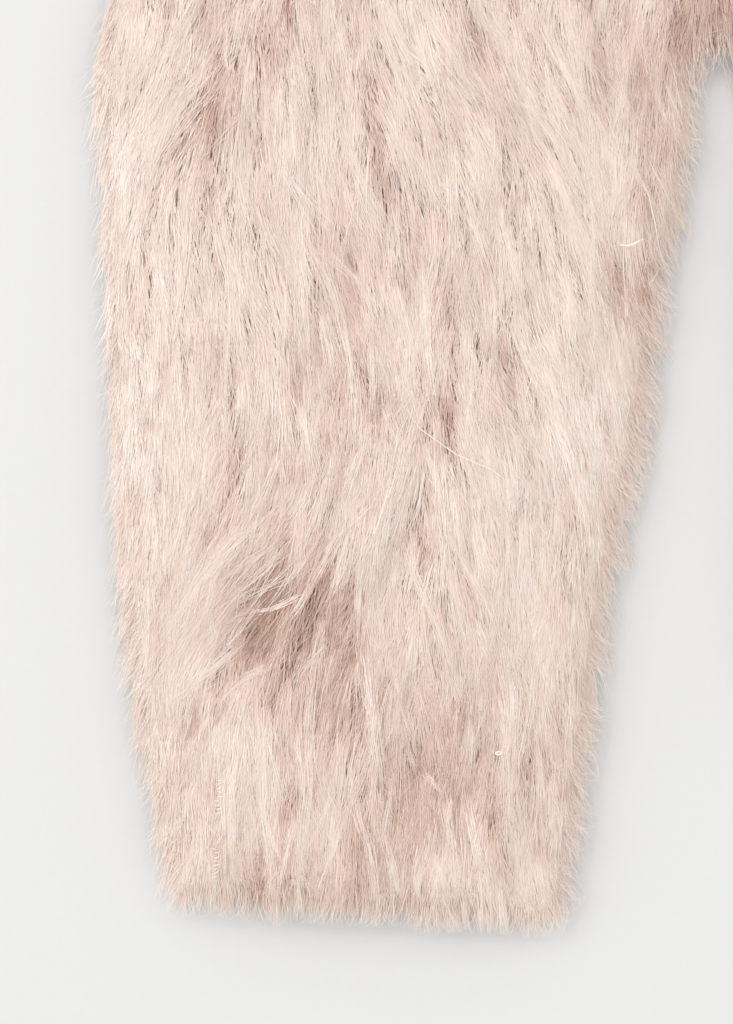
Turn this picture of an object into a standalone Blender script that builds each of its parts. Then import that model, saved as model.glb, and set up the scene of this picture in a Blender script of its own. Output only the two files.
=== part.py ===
"""Long-pile faux fur sweater, laid flat with its front up and both sleeves folded down beside the body.

Metres, +Z up, +Y towards the neck. The origin is under the middle of the whole garment, on the
surface that it lies on. Each solid is the knitted backing with its pile, so it reaches as far as
the fur does. The front lies on the back, each sleeve is a flattened tube, and the neckband is a ring.
"""

import math

import bmesh
import bpy
import numpy as np

MM = 0.001

# Heights above the surface, in metres
BACK_TOP = 0.0095  # inner face of the back: pile pressed flat, then backing
LAYER_GAP = 0.0003  # between pieces that lie on each other or meet at a seam
FRONT_EDGE = 0.0040  # height of the front's own edge before its pile rounds up
BODY_CREST = 0.0270  # top of the pile over the body
SLEEVE_SIDE = 0.0100  # where a sleeve is widest
SLEEVE_FOLD = 0.0105  # the flattened hollow's side folds
SLEEVE_SLIT = 0.0026  # how far the two layers of a sleeve stand apart
SIDE_PILE = 0.0190  # from a sleeve's fur edge in to its hollow
FOOT_IN = 0.0090  # from a sleeve's fur edge in to where it rests on the surface
FOOT_BEND = (0.0025, 0.0040)  # in and up, half way round between the two
CUFF_ROUND = 0.0260  # how far from the cuff the pile starts to fall
CUFF_RISE = 0.22  # share of the pile's rise left at the cuff itself
CUFF_TUFTS = 0.0300  # how far from the cuff its tufts begin
BACK_ROUND = 0.0035  # rounding of the back's lower edge
HEM_ROUND = 0.0300  # from the hem up to the first point on the back's sides

# Widths and lengths across the laid garment, in metres
HEM_Y = -0.2500
ARMPIT_Y = 0.0778
SHOULDER_TIP_Y = 0.3052
NECK_POINT_Y = 0.3412
HEM_HALF = 0.2680
CHEST_HALF = 0.2720
ARMHOLE_HALF = 0.2870
ARMPIT_ROUND = 0.0300
NECK_HALF = 0.0940  # half width of the neckband's middle line
NECK_CENTRE_Y = NECK_POINT_Y - 0.0080
NECK_FRONT_DROP = 0.0760
NECK_BACK_RISE = 0.0250
BAND_HALF_WIDE = 0.0110  # at the middle of the front and back
BAND_HALF_NARROW = 0.0062  # at the sides, where the band folds over
BAND_HALF_THICK = 0.0072
BODY_ROUND = 0.0450  # how far in from an edge the pile reaches its full height
NECK_ROUND = 0.0140
NECK_EDGE = 0.0200  # height of the front where the neckband meets it
SHOULDER_SHARE = 0.16  # least share of the pile's rise, where the front's edges are sewn

# Counts of rows and columns
SLEEVE_ROWS = 52
SLEEVE_COLUMNS = 34
INNER_STEP = 4
BODY_ROWS = 39
SHOULDER_COLUMNS = 12
BAND_STEPS = 40
BAND_SIDES = 10
LAST_EVEN_ROW = 0.952  # share of a sleeve's length with even rows
CUFF_ROWS = (0.968, 0.982, 0.993, 1.0)
HOLLOW_END = 0.972

# The sleeve on the wearer's right, a row for each section from the armhole to the cuff, in mm:
# inner edge x, y, outer edge x, y, height of the crest, rounding in from each edge
SLEEVE_TABLE = (
    (-287.3, 77.8, -287.3, 305.2, 27.0, 45.0),
    (-291.0, 77.0, -375.0, 279.0, 27.5, 50.0),
    (-295.5, 75.3, -462.0, 241.0, 29.0, 58.0),
    (-300.2, 72.6, -536.0, 192.0, 31.0, 70.0),
    (-304.8, 68.6, -588.0, 134.0, 33.0, 85.0),
    (-309.0, 60.0, -605.5, 62.0, 34.5, 95.0),
    (-311.0, 20.0, -603.5, 20.0, 35.0, 105.0),
    (-321.0, -30.0, -602.0, -30.0, 35.0, 105.0),
    (-330.0, -80.0, -600.0, -80.0, 34.5, 100.0),
    (-337.0, -130.0, -598.5, -130.0, 34.0, 96.0),
    (-349.0, -180.0, -596.0, -180.0, 33.0, 90.0),
    (-357.0, -230.0, -590.0, -230.0, 32.0, 84.0),
    (-363.5, -280.0, -582.5, -280.0, 31.5, 76.0),
    (-369.0, -322.0, -576.0, -317.0, 30.0, 68.0),
    (-375.5, -367.0, -567.0, -355.0, 28.0, 60.0),
)

# Soft folds of the laid cloth, in mm and degrees:
# middle x, y, direction, length, width, height (a trough is negative)
SLEEVE_FOLDS = (
    (-522.0, -205.0, 51.0, 72.0, 15.0, -5.0),
    (-492.0, -172.0, 27.0, 120.0, 20.0, 3.2),
    (-505.0, -30.0, 90.0, 190.0, 26.0, -2.6),
    (-440.0, -60.0, 104.0, 210.0, 30.0, 2.4),
    (-560.0, 60.0, 70.0, 110.0, 24.0, -2.2),
    (-445.0, -292.0, 88.0, 80.0, 13.0, -3.4),
    (-572.0, -276.0, 96.0, 44.0, 11.0, -2.6),
    (-395.0, -215.0, 106.0, 90.0, 16.0, -2.6),
    (-352.0, 92.0, 128.0, 100.0, 20.0, -3.6),
    (-385.0, 150.0, 118.0, 140.0, 24.0, 2.6),
    (-440.0, 170.0, 132.0, 130.0, 22.0, -2.6),
)
BODY_FOLDS = (
    (-205.0, 60.0, 142.0, 150.0, 24.0, -3.4),
    (-170.0, 110.0, 136.0, 160.0, 26.0, 2.2),
    (212.0, 48.0, 40.0, 140.0, 22.0, -3.2),
    (176.0, 96.0, 46.0, 170.0, 28.0, 2.4),
    (-96.0, -95.0, 84.0, 190.0, 30.0, -2.4),
    (58.0, -60.0, 97.0, 230.0, 32.0, -2.8),
    (118.0, -130.0, 88.0, 150.0, 26.0, 2.2),
    (-12.0, 130.0, 72.0, 130.0, 26.0, -1.8),
    (-190.0, -150.0, 100.0, 110.0, 22.0, -2.4),
    (205.0, -160.0, 80.0, 100.0, 20.0, -2.4),
)

# Tufts: length of each wave across and along the nap, in mm, and its height
TUFT_WAVES = (
    (34.0, 118.0, 1.5),
    (47.0, 86.0, 1.3),
    (71.0, 152.0, 1.2),
)
EDGE_WAVES = ((27.0, 1.8), (43.0, 1.5))  # length along the edge and depth, in mm

FUR_PINK = (0.80, 0.64, 0.56, 1.0)
FUR_ROUGHNESS = 0.75


def fold_height(x, y, folds):
    """Height that the table's folds add at a point, each a smooth ridge or trough that fades at its ends."""
    total = 0.0
    for fold_x, fold_y, turn, length, width, height in folds:
        across_x, across_y = x / MM - fold_x, y / MM - fold_y
        along = across_x * math.cos(math.radians(turn)) + across_y * math.sin(math.radians(turn))
        across = across_y * math.cos(math.radians(turn)) - across_x * math.sin(math.radians(turn))
        total += height * MM * math.exp(-((2 * along / length) ** 2) - (across / width) ** 2)
    return total


def tuft_height(x, y, phase):
    """Long soft tufts that run down the nap, as a sum of waves that wander sideways."""
    total = 0.0
    for number, (across, along, height) in enumerate(TUFT_WAVES):
        wander = 1.6 * math.sin(math.tau * y / (along * MM) + phase + 2.3 * number)
        total += height * MM * math.sin(math.tau * x / (across * MM) + wander + phase * (number + 1))
    return total


def edge_wave(place, phase):
    """How far a fur edge reaches past its mean line, at a distance along that edge."""
    return sum(
        depth * MM * math.sin(math.tau * place / (length * MM) + phase + length)
        for length, depth in EDGE_WAVES
    )


def dome(share):
    """Quarter-round rise of the pile, from 0 at an edge to 1."""
    held = min(max(share, 0.0), 1.0)
    return math.sqrt(held * (2.0 - held))


def eased(share):
    """Smooth step from 0 to 1."""
    held = min(max(share, 0.0), 1.0)
    return held * held * (3.0 - 2.0 * held)


def through_rows(table, places):
    """Each column of the table as a smooth curve through its rows, read at shares of the mean path."""
    rows = np.array(table, float)
    middle = (rows[:, 0:2] + rows[:, 2:4]) / 2
    path = np.concatenate([[0.0], np.cumsum(np.linalg.norm(np.diff(middle, axis=0), axis=1))])
    path /= path[-1]
    slopes = np.gradient(rows, path, axis=0)
    found = []
    for place in places:
        k = min(int(np.searchsorted(path, place, side="right")) - 1, len(path) - 2)
        span = path[k + 1] - path[k]
        t = (place - path[k]) / span
        found.append(
            (2 * t**3 - 3 * t**2 + 1) * rows[k]
            + (t**3 - 2 * t**2 + t) * span * slopes[k]
            + (3 * t**2 - 2 * t**3) * rows[k + 1]
            + (t**3 - t**2) * span * slopes[k + 1]
        )
    return np.array(found)


def column_places(count):
    """Places from -1 to 1 that lie closer together near both edges."""
    even = np.linspace(-1.0, 1.0, count)
    return 0.5 * even + 0.5 * np.sin(math.pi / 2 * even)


def fur_material(name, share):
    """The garment's one cloth, a little lighter or darker for each piece."""
    material = bpy.data.materials.new(name)
    material.use_nodes = True
    shader = material.node_tree.nodes["Principled BSDF"]
    shader.inputs["Base Color"].default_value = [c * share for c in FUR_PINK[:3]] + [1.0]
    shader.inputs["Roughness"].default_value = FUR_ROUGHNESS
    shader.inputs["Metallic"].default_value = 0.0
    material.diffuse_color = [c * share for c in FUR_PINK[:3]] + [1.0]
    return material


def add_solid(name, bm, garment, shade):
    """A finished bmesh as one named object under the garment's empty."""
    bmesh.ops.recalc_face_normals(bm, faces=bm.faces)
    mesh = bpy.data.meshes.new(name)
    bm.to_mesh(mesh)
    bm.free()
    mesh.shade_smooth()
    mesh.set_sharp_from_angle(angle=math.radians(50))
    solid = bpy.data.objects.new(name, mesh)
    solid.data.materials.append(fur_material(name + "_fur", shade))
    bpy.context.scene.collection.objects.link(solid)
    solid.parent = garment


def skin_between(bm, ring_a, ring_b):
    """Quads between two closed rings of equal count."""
    count = len(ring_a)
    for i in range(count):
        j = (i + 1) % count
        bm.faces.new((ring_a[i], ring_a[j], ring_b[j], ring_b[i]))


def sleeve_top(u, row, end_rise, folds, phase):
    """Height of a sleeve's pile at u across its section, from -1 at the inner edge to 1 at the outer."""
    inner, outer = row[0:2] * MM, row[2:4] * MM
    width = float(np.linalg.norm(outer - inner))
    x, y = (inner + outer) / 2 + u * (outer - inner) / 2
    rise = dome(width / 2 * (1 - abs(u)) / (row[5] * MM)) * end_rise
    form = (row[4] * MM - SLEEVE_SIDE) * rise
    return SLEEVE_SIDE + form + rise * (fold_height(x, y, folds) + tuft_height(x, y, phase))


def sleeve_ring(row, end_rise, reach, folds, phase):
    """The outer ring of one section: over the top from the inner edge, then back along the surface."""
    inner, outer = row[0:2] * MM, row[2:4] * MM
    half = (outer - inner) / 2
    width = float(np.linalg.norm(half))
    down = np.array([half[1], -half[0]]) / width
    if down[1] > 0 and abs(half[0]) > abs(half[1]):
        down = -down
    points = []
    for u in column_places(SLEEVE_COLUMNS):
        x, y = (inner + outer) / 2 + u * half + down * reach(u)
        points.append((x, y, sleeve_top(u, row, end_rise, folds, phase)))
    for inset, height in (FOOT_BEND, (FOOT_IN, 0.0), (0.45 * width, 0.0), (width, 0.0)):
        u = 1 - inset / width
        x, y = (inner + outer) / 2 + u * half + down * reach(u)
        points.append((x, y, height))
    for inset, height in ((0.45 * width, 0.0), (FOOT_IN, 0.0), FOOT_BEND):
        u = inset / width - 1
        x, y = (inner + outer) / 2 + u * half + down * reach(u)
        points.append((x, y, height))
    return points


def sleeve_hollow_ring(row):
    """The flattened hollow inside the same section, point for point with its outer ring."""
    inner, outer = row[0:2] * MM, row[2:4] * MM
    half = (outer - inner) / 2
    width = float(np.linalg.norm(half))
    share = (width - SIDE_PILE) / width
    over = [(u, 1) for u in column_places(SLEEVE_COLUMNS)]
    under = [(u, -1) for u in (0.985, 0.94, 0.55, 0.0, -0.55, -0.94, -0.985)]
    points = []
    for u, side in over + under:
        x, y = (inner + outer) / 2 + u * share * half
        points.append((x, y, SLEEVE_FOLD + side * SLEEVE_SLIT / 2 * math.sqrt(1 - u * u)))
    return points


def add_sleeve(name, side, phase, garment, shade):
    """A flattened tube from armhole to cuff. side is 1 on the wearer's right and -1 on the left."""
    places = [*np.linspace(0.0, LAST_EVEN_ROW, SLEEVE_ROWS - len(CUFF_ROWS)), *CUFF_ROWS]
    sections = through_rows(SLEEVE_TABLE, places)
    length = float(np.linalg.norm(np.diff(sections[:, 0:4].reshape(-1, 2, 2).mean(1), axis=0), axis=1).sum())
    bm = bmesh.new()

    def ring_of(points):
        return [bm.verts.new((side * x, y, z)) for x, y, z in points]

    outer_rings = []
    for place, row in zip(places, sections):
        to_cuff = (1 - place) * length * MM
        end_rise = CUFF_RISE + (1 - CUFF_RISE) * dome(to_cuff / CUFF_ROUND)
        tufted = eased(1 - to_cuff / CUFF_TUFTS)
        row = row.copy()
        settle = eased(place / 0.12)
        row[2] -= settle * edge_wave(place * length * MM, phase) / MM
        row[0] += settle * edge_wave(place * length * MM, phase + 2.0) / MM
        half_width = float(np.linalg.norm(row[2:4] - row[0:2])) * MM / 2

        def reach(u, tufted=tufted, half_width=half_width):
            return tufted * edge_wave(u * half_width, phase + 1.0)

        outer_rings.append(ring_of(sleeve_ring(row, end_rise, reach, SLEEVE_FOLDS, phase)))
    for ring_a, ring_b in zip(outer_rings, outer_rings[1:]):
        skin_between(bm, ring_a, ring_b)

    inner_places = places[0 : -len(CUFF_ROWS) - 1 : INNER_STEP] + [HOLLOW_END]
    hollow = [ring_of(sleeve_hollow_ring(row)) for row in through_rows(SLEEVE_TABLE, inner_places)]
    for ring_a, ring_b in zip(hollow, hollow[1:]):
        skin_between(bm, ring_b, ring_a)
    skin_between(bm, hollow[0], outer_rings[0])
    skin_between(bm, outer_rings[-1], hollow[-1])
    add_solid(name, bm, garment, shade)


def body_half(y):
    """Half width of the body at a height: hem, chest, then the round out to the armhole seam."""
    chest = HEM_HALF + (CHEST_HALF - HEM_HALF) * eased((y - HEM_Y) / (ARMPIT_Y - HEM_Y))
    share = min(max((ARMPIT_Y - y) / ARMPIT_ROUND, 0.0), 1.0)
    return chest + (ARMHOLE_HALF - chest) * (1 - math.sqrt(1 - (1 - share) ** 2)) if share else ARMHOLE_HALF


def shoulder_y(x):
    """The shoulder seam's line between the neck point and the shoulder tip."""
    near, far = NECK_HALF + BAND_HALF_WIDE, ARMHOLE_HALF
    share = min(max((abs(x) - near) / (far - near), 0.0), 1.0)
    return NECK_POINT_Y + (SHOULDER_TIP_Y - NECK_POINT_Y) * share


def band_point(turn):
    """The neckband's middle line in plan at an angle, and its outward direction. Turn 0 is the front."""
    deep = NECK_FRONT_DROP if math.cos(turn) > 0 else NECK_BACK_RISE
    x, y = NECK_HALF * math.sin(turn), NECK_CENTRE_Y - deep * math.cos(turn)
    out = np.array([math.sin(turn) * deep, -math.cos(turn) * NECK_HALF])
    return np.array([x, y]), out / np.linalg.norm(out)


def band_half(turn):
    """Half width of the neckband, narrower at the sides, where it folds."""
    return BAND_HALF_NARROW + (BAND_HALF_WIDE - BAND_HALF_NARROW) * math.cos(turn) ** 2


def band_edge(turn, side):
    """A point on the neckband's outer (1) or inner (-1) edge in plan."""
    middle, out = band_point(turn)
    return middle + side * (band_half(turn) + LAYER_GAP) * out


def front_top_line():
    """The front's upper outline at its columns, left to right: shoulder seam, neckline, shoulder seam."""
    turns = np.linspace(0.0, math.pi / 2, BAND_STEPS // 4 + 1)
    neckline = [band_edge(turn, 1) - (0.0, LAYER_GAP) for turn in turns]
    beside = neckline[-1][0] + LAYER_GAP
    shoulder = [(x, shoulder_y(x)) for x in np.linspace(beside, ARMHOLE_HALF, SHOULDER_COLUMNS)]
    right = [tuple(point) for point in neckline] + shoulder
    return [(-x, y) for x, y in reversed(right[1:])] + right


def neck_distance(x, y):
    """Distance from the neckband's outer edge, measured out from its middle line."""
    turn = math.atan2(x / NECK_HALF, (NECK_CENTRE_Y - y) / NECK_FRONT_DROP)
    if y > NECK_CENTRE_Y:
        turn = math.copysign(math.pi / 2, x)
    middle, out = band_point(turn)
    return float(np.dot(np.array([x, y]) - middle, out)) - band_half(turn)


def hem_y(x, phase):
    """The hem's fur edge."""
    return HEM_Y + edge_wave(x, phase)


def body_rise(x, y, bottom_y):
    """Share of the full pile height at a point, from its distance to the body's free edges."""
    from_hem = (y - bottom_y) / BODY_ROUND
    if y < ARMPIT_Y:
        from_side = (body_half(y) - abs(x)) / BODY_ROUND
    else:
        from_side = math.hypot(ARMHOLE_HALF - abs(x), y - ARMPIT_Y) / BODY_ROUND
    from_shoulder = (shoulder_y(x) - y) / BODY_ROUND
    full = BODY_CREST - BACK_TOP - LAYER_GAP - FRONT_EDGE
    at_neck = (NECK_EDGE - BACK_TOP - LAYER_GAP - FRONT_EDGE) / full
    by_neck = at_neck + (1 - at_neck) * dome(neck_distance(x, y) / NECK_ROUND)
    return min(max(dome(min(from_hem, from_side, from_shoulder)), SHOULDER_SHARE), by_neck)


def add_front(garment, shade):
    """The front: a wall whose underside lies flat on the back and whose top is the pile."""
    bm = bmesh.new()
    phase = 0.7
    top_line = front_top_line()
    even = column_places(len(top_line))
    along = column_places(BODY_ROWS) / 2 + 0.5
    floor_z = BACK_TOP + LAYER_GAP
    full = BODY_CREST - floor_z - FRONT_EDGE
    top, bottom = [], []
    for v in along:
        top_row, bottom_row = [], []
        for u, (top_x, top_y) in zip(even, top_line):
            bottom_y = hem_y(u * HEM_HALF, phase)
            y = bottom_y + v * (top_y - bottom_y)
            x = ((1 - v * v) * u + v * v * top_x / ARMHOLE_HALF) * body_half(y)
            rise = body_rise(x, y, bottom_y)
            relief = fold_height(x, y, BODY_FOLDS) + tuft_height(x, y, phase)
            top_row.append(bm.verts.new((x, y, floor_z + FRONT_EDGE + rise * (full + relief))))
            bottom_row.append((x, y))
        top.append(top_row)
        bottom.append(bottom_row)
    for row_a, row_b in zip(top, top[1:]):
        for i in range(len(even) - 1):
            bm.faces.new((row_a[i], row_a[i + 1], row_b[i + 1], row_b[i]))

    last = len(even) - 1
    rim = [(0, i) for i in range(last)] + [(j, last) for j in range(BODY_ROWS - 1)]
    rim += [(BODY_ROWS - 1, i) for i in range(last, 0, -1)] + [(j, 0) for j in range(BODY_ROWS - 1, 0, -1)]
    upper = [top[j][i] for j, i in rim]
    lower = [bm.verts.new((*bottom[j][i], floor_z)) for j, i in rim]
    skin_between(bm, lower, upper)
    bm.faces.new(list(reversed(lower)))
    add_solid("front", bm, garment, shade)


def back_outline():
    """The back's outline in plan, from the hem's left end round to the neck and back."""
    phase = 2.9
    hem = [(u * HEM_HALF, hem_y(u * HEM_HALF, phase)) for u in np.linspace(-1.0, 1.0, 33)]
    side = [(body_half(y), y) for y in np.linspace(HEM_Y + HEM_ROUND, ARMPIT_Y - ARMPIT_ROUND, 9)]
    round_out = [(body_half(y), y) for y in ARMPIT_Y - ARMPIT_ROUND * np.array([0.6, 0.3, 0.12, 0.02])]
    seam = [(ARMHOLE_HALF, y) for y in np.linspace(ARMPIT_Y, SHOULDER_TIP_Y, 7)]
    near = band_edge(math.pi / 2, 1)[0] + 2 * LAYER_GAP
    shoulder = [(x, shoulder_y(x)) for x in np.linspace(ARMHOLE_HALF, near, 8)[1:]]
    step = [(near, NECK_CENTRE_Y - LAYER_GAP)]
    right = side + round_out + seam + shoulder + step
    neck = [band_edge(turn, -1) for turn in np.linspace(math.pi / 2, 3 * math.pi / 2, BAND_STEPS // 2 + 1)]
    neck = [(x, y - 2 * LAYER_GAP) for x, y in neck]
    left = [(-x, y) for x, y in reversed(right)]
    return hem + right + neck + left


def add_back(garment, shade):
    """The back: pile pressed flat on the surface, its edge rounded off at the bottom."""
    bm = bmesh.new()
    outline = back_outline()
    foot = bm.faces.new([bm.verts.new((x, y, 0.0)) for x, y in outline])
    up = bmesh.ops.extrude_face_region(bm, geom=[foot])
    raised = [v for v in up["geom"] if isinstance(v, bmesh.types.BMVert)]
    bmesh.ops.translate(bm, verts=raised, vec=(0.0, 0.0, BACK_TOP))
    underside = [f for f in bm.faces if all(v.co.z < 1e-6 for v in f.verts)]
    rim = list({e for f in underside for e in f.edges})
    bmesh.ops.bevel(bm, geom=rim, offset=BACK_ROUND, segments=2, profile=0.5, affect="EDGES", clamp_overlap=True)
    add_solid("back", bm, garment, shade)


def add_neckband(garment, shade):
    """The folded strip round the neck: low behind the neck, and up on the back's inner face in front."""
    bm = bmesh.new()
    rings = []
    low, high = BAND_HALF_THICK + 0.0001, BACK_TOP + 2 * LAYER_GAP + BAND_HALF_THICK
    for step in range(BAND_STEPS):
        turn = math.tau * step / BAND_STEPS
        middle, out = band_point(turn)
        behind = eased((-math.cos(turn) - 0.12) / 0.5)
        thick = BAND_HALF_THICK * (1 + 0.10 * math.sin(5 * turn) + 0.06 * math.sin(11 * turn + 1.0))
        lift = high + (low - high) * behind
        ring = []
        for k in range(BAND_SIDES):
            angle = math.tau * k / BAND_SIDES
            across = band_half(turn) * math.cos(angle)
            rise = (thick if math.sin(angle) > 0 else BAND_HALF_THICK) * math.sin(angle)
            x, y = middle + across * out
            ring.append(bm.verts.new((x, y, lift + rise)))
        rings.append(ring)
    for ring_a, ring_b in zip(rings, rings[1:] + rings[:1]):
        skin_between(bm, ring_a, ring_b)
    add_solid("neckband", bm, garment, shade)


def main():
    for old in list(bpy.data.objects):
        bpy.data.objects.remove(old, do_unlink=True)
    garment = bpy.data.objects.new("garment", None)
    bpy.context.scene.collection.objects.link(garment)
    add_back(garment, 0.90)
    add_front(garment, 1.0)
    add_sleeve("sleeve_right", 1, 0.4, garment, 1.02)
    add_sleeve("sleeve_left", -1, 3.5, garment, 0.98)
    add_neckband(garment, 0.94)


main()
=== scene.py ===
"""The looks of a long-pile faux fur sweater, laid flat with its front up.

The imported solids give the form. A thin knitted backing lies inside each one, and the pile covers it:
long tapered blades, rooted in the backing, gathered into locks and combed along the nap.
Metres, +Z up, +Y from the hem towards the neck.
"""

import math

import bpy
import numpy as np
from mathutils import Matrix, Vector, kdtree
from mathutils.bvhtree import BVHTree


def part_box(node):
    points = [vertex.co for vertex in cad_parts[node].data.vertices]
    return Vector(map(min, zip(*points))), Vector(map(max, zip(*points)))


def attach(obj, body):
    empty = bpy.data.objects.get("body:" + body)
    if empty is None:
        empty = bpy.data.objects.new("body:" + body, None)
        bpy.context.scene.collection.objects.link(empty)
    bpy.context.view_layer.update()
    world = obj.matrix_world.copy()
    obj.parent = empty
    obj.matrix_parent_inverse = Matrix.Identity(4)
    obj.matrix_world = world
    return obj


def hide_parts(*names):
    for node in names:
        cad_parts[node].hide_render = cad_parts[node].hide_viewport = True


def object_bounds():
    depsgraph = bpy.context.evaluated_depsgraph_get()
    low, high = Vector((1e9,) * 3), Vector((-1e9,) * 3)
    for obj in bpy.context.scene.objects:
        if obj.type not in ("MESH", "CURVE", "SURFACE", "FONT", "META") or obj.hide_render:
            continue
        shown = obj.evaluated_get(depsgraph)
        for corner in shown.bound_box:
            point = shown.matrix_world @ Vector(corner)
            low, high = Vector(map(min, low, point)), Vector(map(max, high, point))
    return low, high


MM = 0.001

# The photograph: metres to a pixel, and the pixel that lies over the origin
PIXEL = 0.0005
PHOTO_WIDE = 733
PHOTO_HIGH = 1024
ORIGIN_PX = 1310
ORIGIN_PY = 185

# The camera
LENS = 85.0
SENSOR = 36.0
PILE_LEVEL = 0.024  # height of the pile's mean surface

# Grid of heights over the garment
GRID = 0.002
MARGIN = 0.040
DROOP = 0.9  # how steeply the pile falls past an edge, as drop over distance
DEPTH_STEPS = 22  # how many steps of the grid in and out from the outline are counted
FLOOR_LEVEL = 0.0008  # height of the grid's surface where there is only floor
LOWEST = 0.0006  # the lowest that any hair lies over the floor

# The backing under the pile: it lies at this share of the pile's height, and higher by the lift
BACKING_SHARE = 0.84
BACKING_LIFT = 0.0020
BODY_FLOOR = 0.0100  # where the front lies on the back
BODY_LIFT = 0.0005
BACK_TOP = 0.0094  # top of the back's own backing
BAND_SHARE = 0.8  # height of the neckband's backing within its pile
SEAM_DOWN = -0.9  # a face of the neckband that looks down more than this is in its seam
BACKING_INSET = 0.0060  # how far the backing's rim is drawn in from the pile's outline
BACKING_RIM = 0.035  # width of the strip that is drawn in with it
LEAST_SLOPE = 0.3  # where the way out to the outline is unclear, the rim is drawn in less
ROOT_DEEP = 0.0006  # how far the pile's roots start inside the backing
# The two layers of a sleeve meet between these heights, this far in, where no backing shows
HOLLOW_LOW = 0.0088
HOLLOW_HIGH = 0.0122
HOLLOW_IN = 0.012

# Where the nap turns on the sleeve that the photograph shows, in its pixels:
# x, y, reach, lean of the tips to the right of straight down in degrees
NAP_MARKS = (
    (150, 40, 60, -4),
    (195, 105, 48, -38),
    (150, 180, 60, -14),
    (235, 40, 50, -12),
    (310, 110, 50, 2),
    (300, 240, 60, 4),
    (410, 60, 60, 20),
    (500, 110, 70, 26),
    (450, 210, 70, 22),
    (570, 180, 60, 24),
    (620, 80, 50, 14),
    (665, 150, 40, 2),
    (600, 300, 50, 26),
    (350, 330, 60, 12),
    (270, 400, 60, 3),
    (190, 360, 70, -3),
    (145, 480, 60, -6),
    (440, 420, 60, 15),
    (520, 400, 60, 17),
    (590, 420, 60, 16),
    (560, 510, 60, 8),
    (625, 500, 40, 10),
    (395, 510, 45, -10),
    (335, 545, 42, -24),
    (275, 592, 42, -36),
    (220, 635, 42, -30),
    (160, 650, 40, -14),
    (150, 720, 50, -10),
    (370, 640, 50, -14),
    (300, 710, 50, -6),
    (470, 580, 60, 8),
    (560, 610, 50, -6),
    (600, 560, 30, -22),
    (240, 800, 50, -8),
    (190, 860, 40, -4),
    (310, 850, 60, 0),
    (400, 800, 50, 4),
    (445, 740, 40, -12),
    (490, 850, 50, 2),
    (545, 790, 40, -7),
)
# Where the pile there is darker or lighter: x, y, reach, change of shade. Most rows are the pile's own tone;
# painted shade and painted light are noted by their rows
TONE_AND_PAINTED_LIGHT_MARKS = (
    # Down to the right side's rows: the pile's own dusky undercoat where it parts, and at the elbow also
    # painted shade in its crease
    (276, 588, 36, -0.44),
    (255, 642, 34, -0.34),
    (196, 712, 16, -0.22),
    (300, 620, 40, -0.14),
    (345, 580, 30, -0.18),
    (330, 690, 60, -0.26),
    (300, 790, 14, -0.24),
    (345, 730, 12, -0.20),
    (262, 850, 12, -0.20),
    (208, 110, 26, -0.50),
    # Painted shade, with the pile's own darker patches: down the right side, which rounds away from the
    # light, and at the top right by the underarm
    (648, 280, 36, -0.70),
    (668, 210, 30, -0.20),
    (722, 20, 60, -0.37),
    (640, 70, 44, -0.24),
    (668, 130, 32, -0.26),
    (634, 190, 26, -0.20),
    (668, 330, 20, -0.14),
    (640, 450, 20, -0.08),
    (600, 110, 30, -0.16),
    (660, 350, 40, -0.10),
    # The pile's own dusky undercoat where it parts, and at the elbow also painted shade in its crease
    (440, 765, 52, -0.26),
    (430, 800, 40, -0.14),
    (235, 878, 26, -0.22),
    (257, 888, 12, -0.30),
    (180, 760, 24, -0.24),
    (385, 255, 60, -0.18),
    (320, 590, 45, -0.16),
    (315, 868, 34, -0.30),
    (385, 860, 30, -0.16),
    # Painted shade: the small hollow at the knot
    (498, 750, 7, -0.60),
    # Painted light: the left side, which faces the light
    (130, 420, 120, 0.03),
    (150, 60, 60, 0.10),
    (150, 260, 60, 0.06),
    # The pile's own paler patches
    (570, 420, 80, 0.16),
    (440, 485, 60, 0.12),
    (530, 120, 70, 0.08),
    (250, 745, 40, 0.12),
)
ARM_PIVOT = (-0.290, 0.078)  # the nap fans round the underarm
FAN_SHARE = 0.72  # how far the nap follows the fan
FAN_WIDE = 0.06  # how far out from the underarm it takes to turn
# How the nap and its shade wander: metres across, metres along, degrees or change of shade
NAP_WANDERS = ((0.034, 0.070, 6.0), (0.014, 0.034, 5.0))
SHADE_WANDERS = ((0.040, 0.060, 0.05), (0.006, 0.030, 0.07))
GATHER_SHADE = 0.16  # lighter where the nap runs together, darker where it parts
GATHER_REACH = 0.020

# Colours, linear
CREAM = (0.985, 0.915, 0.86)
PALE_CREAM = (0.95, 0.845, 0.775)
PALE_PINK = (0.89, 0.74, 0.665)
DUSKY_PINK = (0.70, 0.50, 0.42)
BROWN_PINK = (0.46, 0.295, 0.23)
PILE_RAMP = ((0.0, BROWN_PINK), (1.0, CREAM), (0.30, DUSKY_PINK), (0.62, PALE_PINK), (0.85, PALE_CREAM))
ROOT_TO_TIP = 0.17  # how much paler a blade's tip is than its root, as shade
# Tint from a blade's root to its tip: painted shade deep in the pile, pinkish, darkest at the root and gone
# from midway along
ROOT_PAINTED_SHADE_RAMP = ((0.0, (0.92, 0.83, 0.79)), (0.55, (1.0, 1.0, 1.0)), (0.25, (1.0, 0.955, 0.935)))
THREAD_WHITE = (0.98, 0.96, 0.93)
BACKING_PINK = (0.88, 0.68, 0.59)
BETWEEN_STITCHES = 0.72  # how dark the backing is between its stitches
FLOOR_WHITE = (0.725, 0.727, 0.724)
FLOOR_GRAIN = (0.985, 1.015)

# Light
SKY_WHITE = (1.0, 0.995, 0.985, 1.0)
SKY_STRENGTH = 0.98
KEY_POWER = 76.0
KEY_SIZE = 3.6
KEY_PLACE = (-3.1, 1.75, 3.4)
KEY_AIM = (-0.35, 0.0, 0.0)
FLOOR_WIDE = 14.0


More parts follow.
